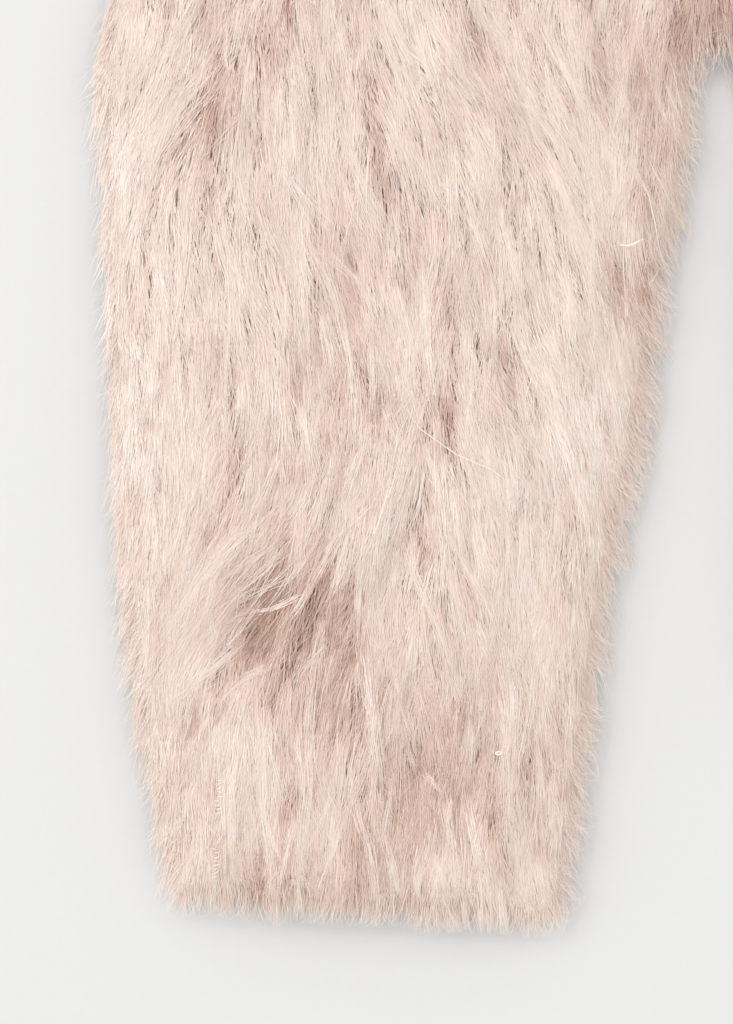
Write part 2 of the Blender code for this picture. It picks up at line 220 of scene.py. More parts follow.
def from_photo(px, py):
    """The place on the garment under a pixel of the photograph."""
    return (px - ORIGIN_PX) * PIXEL, (ORIGIN_PY - py) * PIXEL


def eased(share):
    """Smooth step from 0 to 1."""
    held = np.clip(share, 0.0, 1.0)
    return held * held * (3.0 - 2.0 * held)


# Fields over the garment


class Field:
    """Values on an even grid over the garment, read between its points."""

    def __init__(self, low, values):
        self.low = low
        self.values = values

    def at(self, x, y):
        """The value at each place."""
        rows, columns = self.values.shape
        gx = np.clip((x - self.low[0]) / GRID, 0, columns - 1.001)
        gy = np.clip((y - self.low[1]) / GRID, 0, rows - 1.001)
        i, j = gx.astype(int), gy.astype(int)
        fx, fy = gx - i, gy - j
        low_row = self.values[j, i] * (1 - fx) + self.values[j, i + 1] * fx
        high_row = self.values[j + 1, i] * (1 - fx) + self.values[j + 1, i + 1] * fx
        return low_row * (1 - fy) + high_row * fy

    def slope(self, x, y):
        """Change with x and with y."""
        across = self.at(x + GRID, y) - self.at(x - GRID, y)
        along = self.at(x, y + GRID) - self.at(x, y - GRID)
        return across / (2 * GRID), along / (2 * GRID)


def neighbours(values, fill):
    """The eight copies of a grid moved by one step, with how far each has moved."""
    rows, columns = values.shape
    padded = np.full((rows + 2, columns + 2), fill, values.dtype)
    padded[1:-1, 1:-1] = values
    for step_y in (-1, 0, 1):
        for step_x in (-1, 0, 1):
            if step_x or step_y:
                moved = padded[1 + step_y : rows + 1 + step_y, 1 + step_x : columns + 1 + step_x]
                yield moved, math.hypot(step_x, step_y)


def cast_heights(node, xs, ys):
    """Height of a node's top under each grid point, or -1 where there is none."""
    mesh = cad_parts[node].data
    points = [vertex.co.copy() for vertex in mesh.vertices]
    tree = BVHTree.FromPolygons(points, [tuple(face.vertices) for face in mesh.polygons])
    low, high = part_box(node)
    found = np.full((len(ys), len(xs)), -1.0)
    for j in np.flatnonzero((ys >= low[1]) & (ys <= high[1])):
        for i in np.flatnonzero((xs >= low[0]) & (xs <= high[0])):
            hit = tree.ray_cast((xs[i], ys[j], 1.0), (0.0, 0.0, -1.0))[0]
            if hit is not None:
                found[j, i] = hit.z
    return found


def droop_past_edges(heights):
    """The same heights, carried on past the outline and falling to the floor."""
    full = heights.copy()
    for _ in range(int(MARGIN / GRID)):
        best = np.full(full.shape, -1.0)
        for moved, far in neighbours(full, -1.0):
            best = np.maximum(best, np.where(moved > 0, moved - DROOP * far * GRID, -1.0))
        reached = np.where(best > -1.0, np.maximum(best, FLOOR_LEVEL), -1.0)
        full = np.where(full > 0, full, reached)
    return np.maximum(full, FLOOR_LEVEL)


def distance_in(inside):
    """Distance in from the outline, less than 0 outside it."""
    total = np.zeros(inside.shape)
    for region, sign in ((inside, 1.0), (~inside, -1.0)):
        left = region.copy()
        total += sign * 0.5 * region
        for step in range(DEPTH_STEPS):
            shrunk = left.copy()
            for moved, far in neighbours(left, sign < 0):
                if far == 1.0 or step % 2:
                    shrunk &= moved
            left = shrunk
            total += sign * left
    return total * GRID


def smoothed(values, times):
    """The grid with each point drawn towards its neighbours."""
    for _ in range(times):
        padded = np.pad(values, 1, mode="edge")
        across = (padded[1:-1, :-2] + padded[1:-1, 2:]) / 2
        along = (padded[:-2, 1:-1] + padded[2:, 1:-1]) / 2
        values = (2 * values + across + along) / 4
    return values


def fan_angle(x, y):
    """Lean of the nap from straight down, in radians, where it follows the sleeves round the underarms."""
    side = np.sign(x)
    turn = np.arctan2(y - ARM_PIVOT[1], np.maximum(np.abs(x) + ARM_PIVOT[0], 0.0001))
    on_sleeve = eased((np.abs(x) + ARM_PIVOT[0]) / FAN_WIDE)
    return side * FAN_SHARE * np.clip(turn, 0.0, math.pi / 2) * on_sleeve


def marked(x, y, marks):
    """Sum of the marks' values, and of their weights, at each point. A mark fades with its reach."""
    total, weights = np.zeros(x.shape), np.zeros(x.shape)
    for pixel_x, pixel_y, pixel_reach, value in marks:
        mark_x, mark_y = from_photo(pixel_x, pixel_y)
        reach = pixel_reach * PIXEL
        weight = np.exp(-((x - mark_x) ** 2 + (y - mark_y) ** 2) / reach**2)
        total += weight * value
        weights += weight
    return total, weights


def wandering(shape, across, along, rng):
    """Smooth random values over the grid, about 1 in size, that change over the distances given."""
    rows, columns = shape
    coarse_rows, coarse_columns = int(rows * GRID / along) + 2, int(columns * GRID / across) + 2
    coarse = rng.normal(0.0, 1.0, (coarse_rows, coarse_columns))
    at_rows = np.linspace(0, coarse_rows - 1, rows)
    at_columns = np.linspace(0, coarse_columns - 1, columns)
    tall = np.array([np.interp(at_rows, range(coarse_rows), column) for column in coarse.T])
    wide = np.array([np.interp(at_columns, range(coarse_columns), row) for row in tall.T])
    return 1.3 * smoothed(wide, 4)


def make_fields():
    """The grid, and over it the height, depth inside the outline, lean, shade and each node's region."""
    (low_x, low_y, _), (high_x, high_y, _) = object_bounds()
    xs = np.arange(low_x - MARGIN, high_x + MARGIN, GRID)
    ys = np.arange(low_y - MARGIN, high_y + MARGIN, GRID)
    each = {node: cast_heights(node, xs, ys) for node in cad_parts}
    stack = np.array([each[node] for node in each])
    top = stack.max(axis=0)
    uppermost = stack.argmax(axis=0)
    low = (xs[0], ys[0])
    grid_x, grid_y = np.meshgrid(xs, ys)
    lean, weight = marked(grid_x, grid_y, NAP_MARKS)
    fan = fan_angle(grid_x, grid_y)
    held = np.minimum(weight, 1.0)
    lean = fan * (1 - held) + held * np.radians(lean / np.maximum(weight, 1e-6))
    rng = np.random.default_rng(7)
    for across, along, turn in NAP_WANDERS:
        lean = lean + math.radians(turn) * wandering(top.shape, across, along, rng)
    # The marks' tone, with their painted shade and painted light, then tone that wanders at random
    shade, _ = marked(grid_x, grid_y, TONE_AND_PAINTED_LIGHT_MARKS)
    for across, along, change in SHADE_WANDERS:
        shade = shade + change * wandering(top.shape, across, along, rng)
    gathering = -np.gradient(np.sin(lean), GRID, axis=1)
    shade = shade + GATHER_SHADE * np.clip(smoothed(gathering, 2) * GATHER_REACH, -1.0, 1.0)
    return {
        "x": grid_x,
        "y": grid_y,
        "top": Field(low, droop_past_edges(top)),
        "depth": Field(low, smoothed(distance_in(top > 0), 3)),
        "lean": Field(low, smoothed(lean, 2)),
        "shade": Field(low, shade),
        "regions": {node: (top > 0) & (uppermost == number) for number, node in enumerate(each)},
    }


def backing_height(top):
    """Height of the knitted backing under the pile's surface."""
    return BACKING_LIFT + BACKING_SHARE * top


# Materials


def shader_of(name, roughness, sheen):
    """A new material, its node tree and its Principled shader."""
    material = bpy.data.materials.new(name)
    material.use_nodes = True
    tree = material.node_tree
    shader = tree.nodes["Principled BSDF"]
    shader.inputs["Roughness"].default_value = roughness
    shader.inputs["Specular IOR Level"].default_value = 0.25
    shader.inputs["Sheen Weight"].default_value = sheen
    shader.inputs["Sheen Roughness"].default_value = 0.5
    return material, tree, shader


def colour_ramp(tree, stops):
    """A Color Ramp with a stop for each (place, colour)."""
    ramp = tree.nodes.new("ShaderNodeValToRGB")
    for number, (place, colour) in enumerate(stops):
        stop = ramp.color_ramp.elements[number] if number < 2 else ramp.color_ramp.elements.new(place)
        stop.position = place
        stop.color = (*colour, 1.0)
    return ramp


def mix_colours(tree, blend, share, first, second):
    """A Mix node for colours. Share, first and second are sockets or values. Gives its result's socket."""
    mix = tree.nodes.new("ShaderNodeMix")
    mix.data_type = "RGBA"
    mix.blend_type = blend
    for socket, value in ((mix.inputs[0], share), (mix.inputs[6], first), (mix.inputs[7], second)):
        if isinstance(value, bpy.types.NodeSocket):
            tree.links.new(value, socket)
        elif isinstance(value, tuple):
            socket.default_value = (*value, 1.0)
        else:
            socket.default_value = value
    return mix.outputs[2]


def texture(tree, kind, **levels):
    """A texture of the kind given over the object, with levels for its sockets."""
    place = tree.nodes.new("ShaderNodeTexCoord")
    pattern = tree.nodes.new(kind)
    for socket, level in levels.items():
        pattern.inputs[socket].default_value = level
    tree.links.new(place.outputs["Object"], pattern.inputs["Vector"])
    return pattern


def pile_material():
    """Long pale pink pile: u of the map is the blade's shade, and v runs from its root to its tip."""
    material, tree, shader = shader_of("pale_pink_pile", 0.62, 0.12)
    place = tree.nodes.new("ShaderNodeUVMap")
    place.uv_map = "OFBake"
    apart = tree.nodes.new("ShaderNodeSeparateXYZ")
    tree.links.new(place.outputs["UV"], apart.inputs[0])
    shade = colour_ramp(tree, PILE_RAMP)
    tree.links.new(apart.outputs["X"], shade.inputs[0])
    # Painted shade deep in the pile: each blade darker towards its root
    root = colour_ramp(tree, ROOT_PAINTED_SHADE_RAMP)
    tree.links.new(apart.outputs["Y"], root.inputs[0])
    body = mix_colours(tree, "MULTIPLY", 1.0, shade.outputs[0], root.outputs[0])
    tree.links.new(body, shader.inputs["Base Color"])
    return material


def thread_material():
    """White sewing thread: fine twisted plies."""
    material, tree, shader = shader_of("white_thread", 0.7, 0.1)
    plies = texture(tree, "ShaderNodeTexWave", Scale=900.0)
    plies.bands_direction = "DIAGONAL"
    body = mix_colours(tree, "MIX", plies.outputs["Color"], PALE_CREAM, THREAD_WHITE)
    tree.links.new(body, shader.inputs["Base Color"])
    return material


def backing_material():
    """Fine knitted backing: rows of small stitches, brownish pink."""
    material, tree, shader = shader_of("knitted_backing", 0.85, 0.1)
    columns = texture(tree, "ShaderNodeTexWave", Scale=210.0, Distortion=1.2)
    columns.bands_direction = "X"
    rows = texture(tree, "ShaderNodeTexWave", Scale=260.0)
    rows.bands_direction = "Y"
    stitches = mix_colours(tree, "MULTIPLY", 0.7, columns.outputs["Color"], rows.outputs["Color"])
    darker = tuple(BETWEEN_STITCHES * level for level in BACKING_PINK)
    tree.links.new(mix_colours(tree, "MIX", stitches, darker, BACKING_PINK), shader.inputs["Base Color"])
    bump = tree.nodes.new("ShaderNodeBump")
    bump.inputs["Strength"].default_value = 0.5
    bump.inputs["Distance"].default_value = 0.0006
    tree.links.new(stitches, bump.inputs["Height"])
    tree.links.new(bump.outputs["Normal"], shader.inputs["Normal"])
    return material


def floor_material():
    """White matt board with a faint grain."""
    material, tree, shader = shader_of("white_floor", 0.9, 0.0)
    grain = texture(tree, "ShaderNodeTexNoise", Scale=260.0, Detail=3.0)
    darker, lighter = (tuple(change * level for level in FLOOR_WHITE) for change in FLOOR_GRAIN)
    body = mix_colours(tree, "MIX", grain.outputs["Fac"], darker, lighter)
    tree.links.new(body, shader.inputs["Base Color"])
    return material


# The knitted backing


def only(piece):
    """Leaves one object selected and active."""
    bpy.ops.object.select_all(action="DESELECT")
    piece.select_set(True)
    bpy.context.view_layer.objects.active = piece


def points_of(mesh):
    """The mesh's points, as an array."""
    co = np.empty(len(mesh.vertices) * 3, np.float32)
    mesh.vertices.foreach_get("co", co)
    return co.reshape(-1, 3).astype(float)


def delete_selected(kind):
    """Deletes what is selected in the active object's mesh."""
    bpy.ops.object.mode_set(mode="EDIT")
    bpy.ops.mesh.delete(type=kind)
    bpy.ops.object.mode_set(mode="OBJECT")


def make_backing(node, fields, material):
    """A thin cloth on the node's form, under its pile, open where the garment is open."""
    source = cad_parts[node]
    piece = bpy.data.objects.new("backing_" + node, source.data.copy())
    bpy.context.scene.collection.objects.link(piece)
    only(piece)
    bpy.ops.object.mode_set(mode="EDIT")
    bpy.ops.mesh.select_all(action="SELECT")
    bpy.ops.mesh.remove_doubles(threshold=0.00001)
    bpy.ops.mesh.select_all(action="DESELECT")
    bpy.ops.object.mode_set(mode="OBJECT")

    mesh = piece.data
    co = points_of(mesh)
    floor, lift = BODY_FLOOR, BODY_LIFT
    if node.startswith("sleeve"):
        floor, lift = 0.0, BACKING_LIFT
        inward = fields["depth"].at(co[:, 0], co[:, 1])
        spare = (co[:, 2] > HOLLOW_LOW) & (co[:, 2] < HOLLOW_HIGH) & (inward > HOLLOW_IN)
        mesh.vertices.foreach_set("select", spare)
        delete_selected("VERT")
        co = points_of(mesh)
    if node == "neckband":
        seam = np.array([face.normal.z < SEAM_DOWN for face in mesh.polygons])
        mesh.polygons.foreach_set("select", seam)
        delete_selected("ONLY_FACE")
        middle = (co[:, 2].min() + co[:, 2].max()) / 2
        co[:, 2] = middle + (co[:, 2] - middle) * BAND_SHARE
    elif node == "back":
        co[:, 2] = np.minimum(co[:, 2], BACK_TOP)
    else:
        slope_x, slope_y = fields["depth"].slope(co[:, 0], co[:, 1])
        steep = np.maximum(np.hypot(slope_x, slope_y), LEAST_SLOPE)
        share = 1 - eased(fields["depth"].at(co[:, 0], co[:, 1]) / BACKING_RIM)
        co[:, 0] += BACKING_INSET * share * slope_x / steep
        co[:, 1] += BACKING_INSET * share * slope_y / steep
        co[:, 2] = floor + (co[:, 2] - floor) * BACKING_SHARE + lift
    mesh.vertices.foreach_set("co", co.astype(np.float32).ravel())
    mesh.update()
    mesh.shade_smooth()
    mesh.materials.clear()
    mesh.materials.append(material)
    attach(piece, "root")
    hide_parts(node)
    return piece


# The pile

# One blade: its taper, and its map, where u is its shade and v runs along it
TAPER = 2.2  # how late a blade narrows towards its tip
ROOT_WIDTH = 0.5  # its width at the root, as a share of the whole
WIDENING = 4.0  # how fast it widens from there
MAP_HALF = 0.002  # half its width in the map
MAP_MIDDLE = 0.55  # how far along a blade its shade is neither lightened nor darkened

# Locks, and the tufts they are made of: how much further apart their middles are along the nap than
# across it, and how much a distance along it counts where a blade's nearest one is found
LOCK_FORM = 2.8
LOCK_SQUEEZE = 0.36
TUFT_FORM = 2.6
TUFT_SQUEEZE = 0.40
TUFT_POWER = 0.8  # how early the blades of a tuft draw together
WAVES = 5.0  # how far a blade's wave runs from its root to its tip, in radians
LAYER_RANGE = (0.12, 1.12)  # lowest and highest that a blade lies, from the backing to the surface
# Painted shade: the lower blades, deeper in the pile, are darker than the higher ones
LOW_LAYER_PAINTED_SHADE = 0.25  # how much paler the higher blades are

# Loose blades lie over the others: how much more they turn, reach out and rise, and how fine they are
LOOSE_TURN = 4.0
LOOSE_CLOSE = 0.2
LOOSE_REACH = 2.0
LOOSE_LIFT = 2.0
LOOSE_WIDTH = 0.55

# At the outline
EDGE_LEAN = 0.24  # how far blades on the outline lean out, as a share of their length
LEAN_EDGE = 0.022  # width of the strip where they do
SHADE_EDGE = 0.016  # width of the strip where the pile's shade changes
FINE_EDGE = 0.016  # width of the strip where the blades are narrower
EDGE_ROOTS = 0.012  # width of the strip along an upper edge where the roots are closer
UPPER_MORE = 4  # how many more roots there are in that strip
FARTHEST = 0.012  # how far any blade of the pile may reach past the outline
STRAY = 0.006  # a blade that lies further out than it may by this much is left out
SHORTEST = 0.62  # how far a blade is shortened at the outline, before it moves in
SOFT_EDGE = 0.007  # how far in the dense pile ends where the inner edge is a haze
INNER_REACH = 1.4  # how much further the blades may reach out there
SHOULDER_CELLS = 3  # steps of the grid that the front's pile is rooted past its shoulder edge, over the seam

# How many roots there are: fewer where the photograph shows nothing, and under dark patches
MID_BLADE = 0.022  # how far below its root the middle of a blade lies
UNSHOWN_SHARE = 0.42
PHOTO_SPARE = (30, 80)  # pixels past the photograph's right and upper edge that count as shown
DARK_THINS = 1.3  # how fast the pile thins as its shade darkens
THINNEST = 0.3  # the least share of roots left there


def paths_through(px, py, pz):
    """Paths through the places and heights given, none of them below the floor."""
    return np.stack([px, py, np.maximum(pz, LOWEST)], axis=2)


def upright(paths):
    """Straight up, for each point of the paths."""
    return np.zeros(paths.shape) + np.array([0.0, 0.0, 1.0])


def off_surface(px, py, fields):
    """Away from the pile's surface, for each place."""
    slope_x, slope_y = fields["top"].slope(px, py)
    return np.stack([-slope_x, -slope_y, np.ones(px.shape)], axis=2)


def unit(vectors, least=1e-6):
    """The same vectors, each of length 1."""
    return vectors / np.maximum(np.linalg.norm(vectors, axis=-1, keepdims=True), least)


def blades_mesh(name, paths, widths, shades, ups, material):
    """Joined tapered blades along paths (blades x points x 3), each ending in a point."""
    count, points, _ = paths.shape
    side = unit(np.cross(unit(np.gradient(paths, axis=1), 1e-9), ups), 1e-9)
    share = np.linspace(0.0, 1.0, points)
    taper = np.clip(1.05 - share**TAPER, 0.0, 1.0) * np.clip(ROOT_WIDTH + WIDENING * share, 0.0, 1.0)
    half = 0.5 * widths[:, None, None] * taper[None, :, None]
    left, right = paths - side * half, paths + side * half

    per = 2 * (points - 1) + 1
    verts = np.empty((count, per, 3), np.float32)
    verts[:, 0 : per - 1 : 2] = left[:, :-1]
    verts[:, 1 : per - 1 : 2] = right[:, :-1]
    verts[:, -1] = paths[:, -1]
    quads = [(2 * k, 2 * k + 1, 2 * k + 3, 2 * k + 2) for k in range(points - 2)]
    last = 2 * (points - 2)
    loop_pattern = np.array([i for quad in quads for i in quad] + [last, last + 1, last + 2])
    sizes = np.array([4] * len(quads) + [3])
    loops = (loop_pattern[None, :] + per * np.arange(count)[:, None]).ravel()
    starts = np.concatenate([[0], np.cumsum(np.tile(sizes, count))[:-1]])

    mesh = bpy.data.meshes.new(name)
    mesh.vertices.add(count * per)
    mesh.vertices.foreach_set("co", verts.ravel())
    mesh.loops.add(len(loops))
    mesh.loops.foreach_set("vertex_index", loops.astype(np.int32))
    mesh.polygons.add(len(starts))
    mesh.polygons.foreach_set("loop_start", starts.astype(np.int32))
    mesh.polygons.foreach_set("use_smooth", np.ones(len(starts), bool))
    mesh.update(calc_edges=True)

    vert_v = np.append(np.repeat(share[:-1], 2), 1.0)
    vert_u = np.where(np.arange(per) % 2 == 0, -MAP_HALF, MAP_HALF) + ROOT_TO_TIP * (vert_v - MAP_MIDDLE)
    uv = np.empty((count, len(loop_pattern), 2), np.float32)
    uv[:, :, 0] = np.clip(shades[:, None] + vert_u[loop_pattern][None, :], 0.01, 0.99)
    uv[:, :, 1] = 0.01 + 0.98 * vert_v[loop_pattern][None, :]
    mesh.uv_layers.new(name="OFBake").data.foreach_set("uv", uv.ravel())
    mesh.materials.append(material)
    mesh.validate()
    piece = bpy.data.objects.new(name, mesh)
    bpy.context.scene.collection.objects.link(piece)
    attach(piece, "root")
    return piece


def scattered(region, weights, count, fields, rng):
    """Random places inside a region of the grid, denser where the weights are higher."""
    cells = np.flatnonzero(region.ravel())
    share = weights.ravel()[cells]
    chosen = rng.choice(cells, size=count, p=share / share.sum())
    x = fields["x"].ravel()[chosen] + rng.uniform(-0.5, 0.5, count) * GRID
    y = fields["y"].ravel()[chosen] + rng.uniform(-0.5, 0.5, count) * GRID
    return x, y


def middles(x, y, across, along, rng):
    """Uneven rows of middles for locks over the places given."""
    xs = np.arange(x.min() - across, x.max() + across, across)
    ys = np.arange(y.min() - along, y.max() + along, along)
    gx, gy = np.meshgrid(xs, ys)
    gx = gx + rng.uniform(-0.48, 0.48, gx.shape) * across
    gy = gy + rng.uniform(-0.48, 0.48, gy.shape) * along
    return gx.ravel(), gy.ravel()


def nearest(x, y, middle_x, middle_y, squeeze):
    """Number of the nearest middle for each place. Squeeze makes the locks longer than wide."""
    tree = kdtree.KDTree(len(middle_x))
    for number, (mx, my) in enumerate(zip(middle_x, middle_y)):
        tree.insert((mx, my * squeeze, 0.0), number)
    tree.balance()
    return np.array([tree.find((px, py * squeeze, 0.0))[1] for px, py in zip(x, y)])


def lean_path(x, y, length, first, last, share):
    """Places along curves that start at x, y and turn from one lean to another."""
    angle = first[:, None] + 0.5 * (last - first)[:, None] * share
    reach = length[:, None] * share
    return x[:, None] + reach * np.sin(angle), y[:, None] - reach * np.cos(angle)


def pulled_in(px, py, reach, fields, times=6):
    """The same hairs, each moved back along itself until its tip is within reach of the outline."""
    for _ in range(times):
        beyond = np.maximum(-fields["depth"].at(px[:, -1], py[:, -1]) - reach, 0.0)
        long = np.maximum(np.hypot(px[:, -1] - px[:, 0], py[:, -1] - py[:, 0]), 0.001)
        px = px - (beyond * (px[:, -1] - px[:, 0]) / long)[:, None]
        py = py - (beyond * (py[:, -1] - py[:, 0]) / long)[:, None]
    return px, py


def kept_in(px, py, allowed, fields):
    """The same hairs, each shortened and then moved back until its tip is no further out than allowed."""
    cut = np.ones(len(px))
    for _ in range(10):
        tip_x = px[:, 0] + (px[:, -1] - px[:, 0]) * cut
        tip_y = py[:, 0] + (py[:, -1] - py[:, 0]) * cut
        past = -fields["depth"].at(tip_x, tip_y) > allowed
        cut = np.where(past, np.maximum(cut * 0.95, SHORTEST), cut)
    px = px[:, :1] + (px - px[:, :1]) * cut[:, None]
    py = py[:, :1] + (py - py[:, :1]) * cut[:, None]
    return pulled_in(px, py, allowed, fields, times=3)


def comb(x, y, fields, rng, style):
    """Paths, shades and facing of blades rooted at the places given, gathered into locks."""
    count = len(x)
    lock_x, lock_y = middles(x, y, style["lock"], style["lock"] * LOCK_FORM, rng)
    tuft_x, tuft_y = middles(x, y, style["tuft"], style["tuft"] * TUFT_FORM, rng)
    tuft = nearest(x, y, tuft_x, tuft_y, TUFT_SQUEEZE)
    lock = nearest(tuft_x, tuft_y, lock_x, lock_y, LOCK_SQUEEZE)[tuft]

    locks = len(lock_x)
    lock_turn = np.radians(rng.normal(0.0, style["lock_turn"], locks))
    lock_curl = np.radians(rng.normal(0.0, style["curl"], locks))
    lock_long = style["length"] * rng.uniform(*style["lock_long"], locks)
    lock_layer = rng.uniform(*style["layers"], locks)
    lock_shade = rng.normal(0.0, style["lock_shade"], locks)
    lock_gather = rng.uniform(*style["gather"], locks)
    tufts = len(tuft_x)
    tuft_turn = np.radians(rng.normal(0.0, style["tuft_turn"], tufts))
    tuft_layer = rng.normal(0.0, style["tuft_layer"], tufts)
    tuft_shade = rng.normal(0.0, style["tuft_shade"], tufts)
    tuft_close = rng.uniform(*style["close"], tufts)

    # How each blade leans, and how it follows its tuft and lock
    share = np.linspace(0.0, 1.0, style["points"])[None, :]
    loose = rng.random(count) < style["loose"]
    shares = rng.uniform(*style["own_long"], count)[:, None] * share
    first = fields["lean"].at(lock_x, lock_y) + lock_turn
    ahead_x = lock_x + lock_long * np.sin(first)
    ahead_y = lock_y - lock_long * np.cos(first)
    last = fields["lean"].at(ahead_x, ahead_y) + lock_turn + lock_curl
    own_turn = np.radians(rng.normal(0.0, style["own_turn"], count))
    own_turn = np.where(loose, own_turn * LOOSE_TURN, own_turn)
    close = np.where(loose, LOOSE_CLOSE, tuft_close[tuft])
    px, py = lean_path(lock_x[lock], lock_y[lock], lock_long[lock], first[lock], last[lock], shares)
    at_root = style["root_gather"]
    to_lock = 1 - lock_gather[lock][:, None] * (at_root + (1 - at_root) * shares ** style["gather_power"])
    to_tuft = 1 - close[:, None] * shares**TUFT_POWER
    px = px + (tuft_x[tuft] - lock_x[lock])[:, None] * to_lock + (x - tuft_x[tuft])[:, None] * to_tuft
    py = py + (tuft_y[tuft] - lock_y[lock])[:, None] * to_lock + (y - tuft_y[tuft])[:, None] * to_tuft
    reach = lock_long[lock][:, None] * shares
    turned = (tuft_turn[tuft] + own_turn)[:, None] * reach
    bends = style["wave"] * rng.normal(0.0, 1.0, count)
    phase = rng.uniform(0.0, 2 * math.pi, count)
    turned = turned + bends[:, None] * np.sin(WAVES * share + phase[:, None]) * share

    # At the outline
    inward = fields["depth"].at(x, y)
    edge_x, edge_y = fields["depth"].slope(x, y)
    edge = EDGE_LEAN * (1 - eased(inward / LEAN_EDGE))
    px = px + turned * np.cos(first[lock])[:, None] - (edge * edge_x)[:, None] * reach
    py = py + turned * np.sin(first[lock])[:, None] - (edge * edge_y)[:, None] * reach
    inner = np.clip(edge_x * np.sign(x), 0.0, 1.0)
    allowed = rng.gamma(1.3, style["past_edge"], count) * (1 + INNER_REACH * inner)
    allowed = np.minimum(allowed * np.where(loose, LOOSE_REACH, 1.0), FARTHEST) - SOFT_EDGE * inner
    px, py = kept_in(px, py, allowed, fields)

    # Heights: up from the backing, along under the surface, and down no faster than the pile can fall
    top = fields["top"].at(px, py)
    under = backing_height(top) - ROOT_DEEP
    layer = lock_layer[lock] + tuft_layer[tuft] + rng.normal(0.0, style["own_layer"], count)
    layer = np.clip(layer, *LAYER_RANGE)
    layer = np.where(loose, np.maximum(layer, 1.0), layer)
    rise = np.sin(math.pi / 2 * np.clip(share / style["rise"], 0.0, 1.0))
    lift = style["lift"] * np.where(loose, LOOSE_LIFT, 1.0) * rng.random(count)
    pz = under + (top - under) * layer[:, None] * rise + lift[:, None] * share**2
    travelled = np.hypot(px - px[:, :1], py - py[:, :1])
    pz = np.maximum(pz, (top[:, :1] - style["fall"] * travelled) * eased(share / 0.5))
    paths = paths_through(px, py, pz)

    ups = unit(off_surface(px, py, fields))
    twist = np.radians(rng.normal(0.0, style["twist"], count))
    beside = np.cross(unit(np.gradient(paths, axis=1), 1e-9), ups)
    ups = ups * np.cos(twist)[:, None, None] + beside * np.sin(twist)[:, None, None]

    shade = style["shade"] + lock_shade[lock] + tuft_shade[tuft] + rng.normal(0.0, style["own_shade"], count)
    # Painted shade on the lower blades, deeper in the pile
    shade += LOW_LAYER_PAINTED_SHADE * (layer - 0.9) + style["edge_shade"] * (1 - eased(inward / SHADE_EDGE))
    half_way = style["points"] // 2
    shade += style["marks"] * fields["shade"].at(px[:, half_way], py[:, half_way])
    widths = style["width"] * MM * rng.uniform(*style["widths"], count) * np.where(loose, LOOSE_WIDTH, 1.0)
    widths = widths * (1 - style["edge_fine"] * (1 - eased(inward / FINE_EDGE)))
    kept = np.max(-fields["depth"].at(px, py), axis=1) < allowed + STRAY
    return paths[kept], widths[kept], shade[kept], ups[kept]


# How each kind of pile lies. Lengths in metres, widths in mm, turns in degrees, the rest as shares.
OVERCOAT = {
    "lock": 0.0085,
    "tuft": 0.0024,
    "lock_turn": 4.5,
    "tuft_turn": 3.5,
    "own_turn": 3.5,
    "curl": 9.0,
    "wave": 0.0006,
    "length": 0.052,
    "width": 0.42,
    "points": 5,
    "lock_long": (0.78, 1.18),
    "own_long": (0.68, 1.10),
    "widths": (0.7, 1.25),
    "loose": 0.08,
    "past_edge": 0.0028,
    "rise": 0.24,
    "lift": 0.0008,
    "fall": 0.42,  # the steepest that a blade comes down, as drop over distance
    "twist": 12.0,
    "layers": (0.96, 1.02),
    "tuft_layer": 0.04,
    "own_layer": 0.03,
    "gather": (0.50, 1.0),
    "gather_power": 0.6,
    "root_gather": 0.40,
    "close": (0.25, 0.80),
    "shade": 0.675,
    "marks": 0.8,
    "lock_shade": 0.05,
    "tuft_shade": 0.05,
    "own_shade": 0.035,
    "edge_shade": 0.06,
    "edge_fine": 0.42,  # how much narrower the blades on the outline are
}
STYLES = {
    "overcoat": OVERCOAT,
    "gathered": dict(
        OVERCOAT,
        lock=0.0080,
        lock_turn=6.0,
        length=0.060,
        gather=(0.75, 1.0),
        root_gather=0.66,
        shade=0.62,
        lock_shade=0.06,
        marks=0.6,
        past_edge=0.0050,
    ),
    "undercoat": dict(
        OVERCOAT,
        tuft=0.0040,
        length=0.023,
        width=0.74,
        points=3,
        wave=0.0,
        loose=0.0,
        layers=(0.87, 0.97),
        gather=(0.0, 0.2),
        root_gather=0.0,
        close=(0.0, 0.30),
        shade=0.45,
        marks=1.0,
        tuft_turn=6.0,
        own_turn=9.0,
        lift=0.0010,
        fall=9.0,
        edge_shade=0.28,
        edge_fine=0.0,
        tuft_shade=0.07,
    ),
    "fuzz": dict(
        OVERCOAT,
        tuft=0.0040,
        length=0.015,
        width=0.30,
        points=3,
        wave=0.0,
        loose=0.0,
        layers=(0.96, 1.06),
        gather=(0.0, 0.1),
        root_gather=0.0,
        close=(0.0, 0.1),
        shade=0.66,
        own_turn=24.0,
        lift=0.0015,
    ),
    "unshown": dict(
        OVERCOAT,
        lock=0.0110,
        tuft=0.0042,
        points=3,
        wave=0.0,
        width=1.05,
        layers=(0.92, 1.03),
        gather=(0.0, 0.40),
        root_gather=0.0,
        close=(0.0, 0.45),
        shade=0.66,
        past_edge=0.0035,
    ),
}
# The upper sleeve's undercoat lies higher and is paler: painted light that lifts the shade in the gaps
# between the blades over it
STYLES["undercoat_painted_light"] = dict(STYLES["undercoat"], shade=0.52, tuft_shade=0.05, layers=(0.90, 0.985))

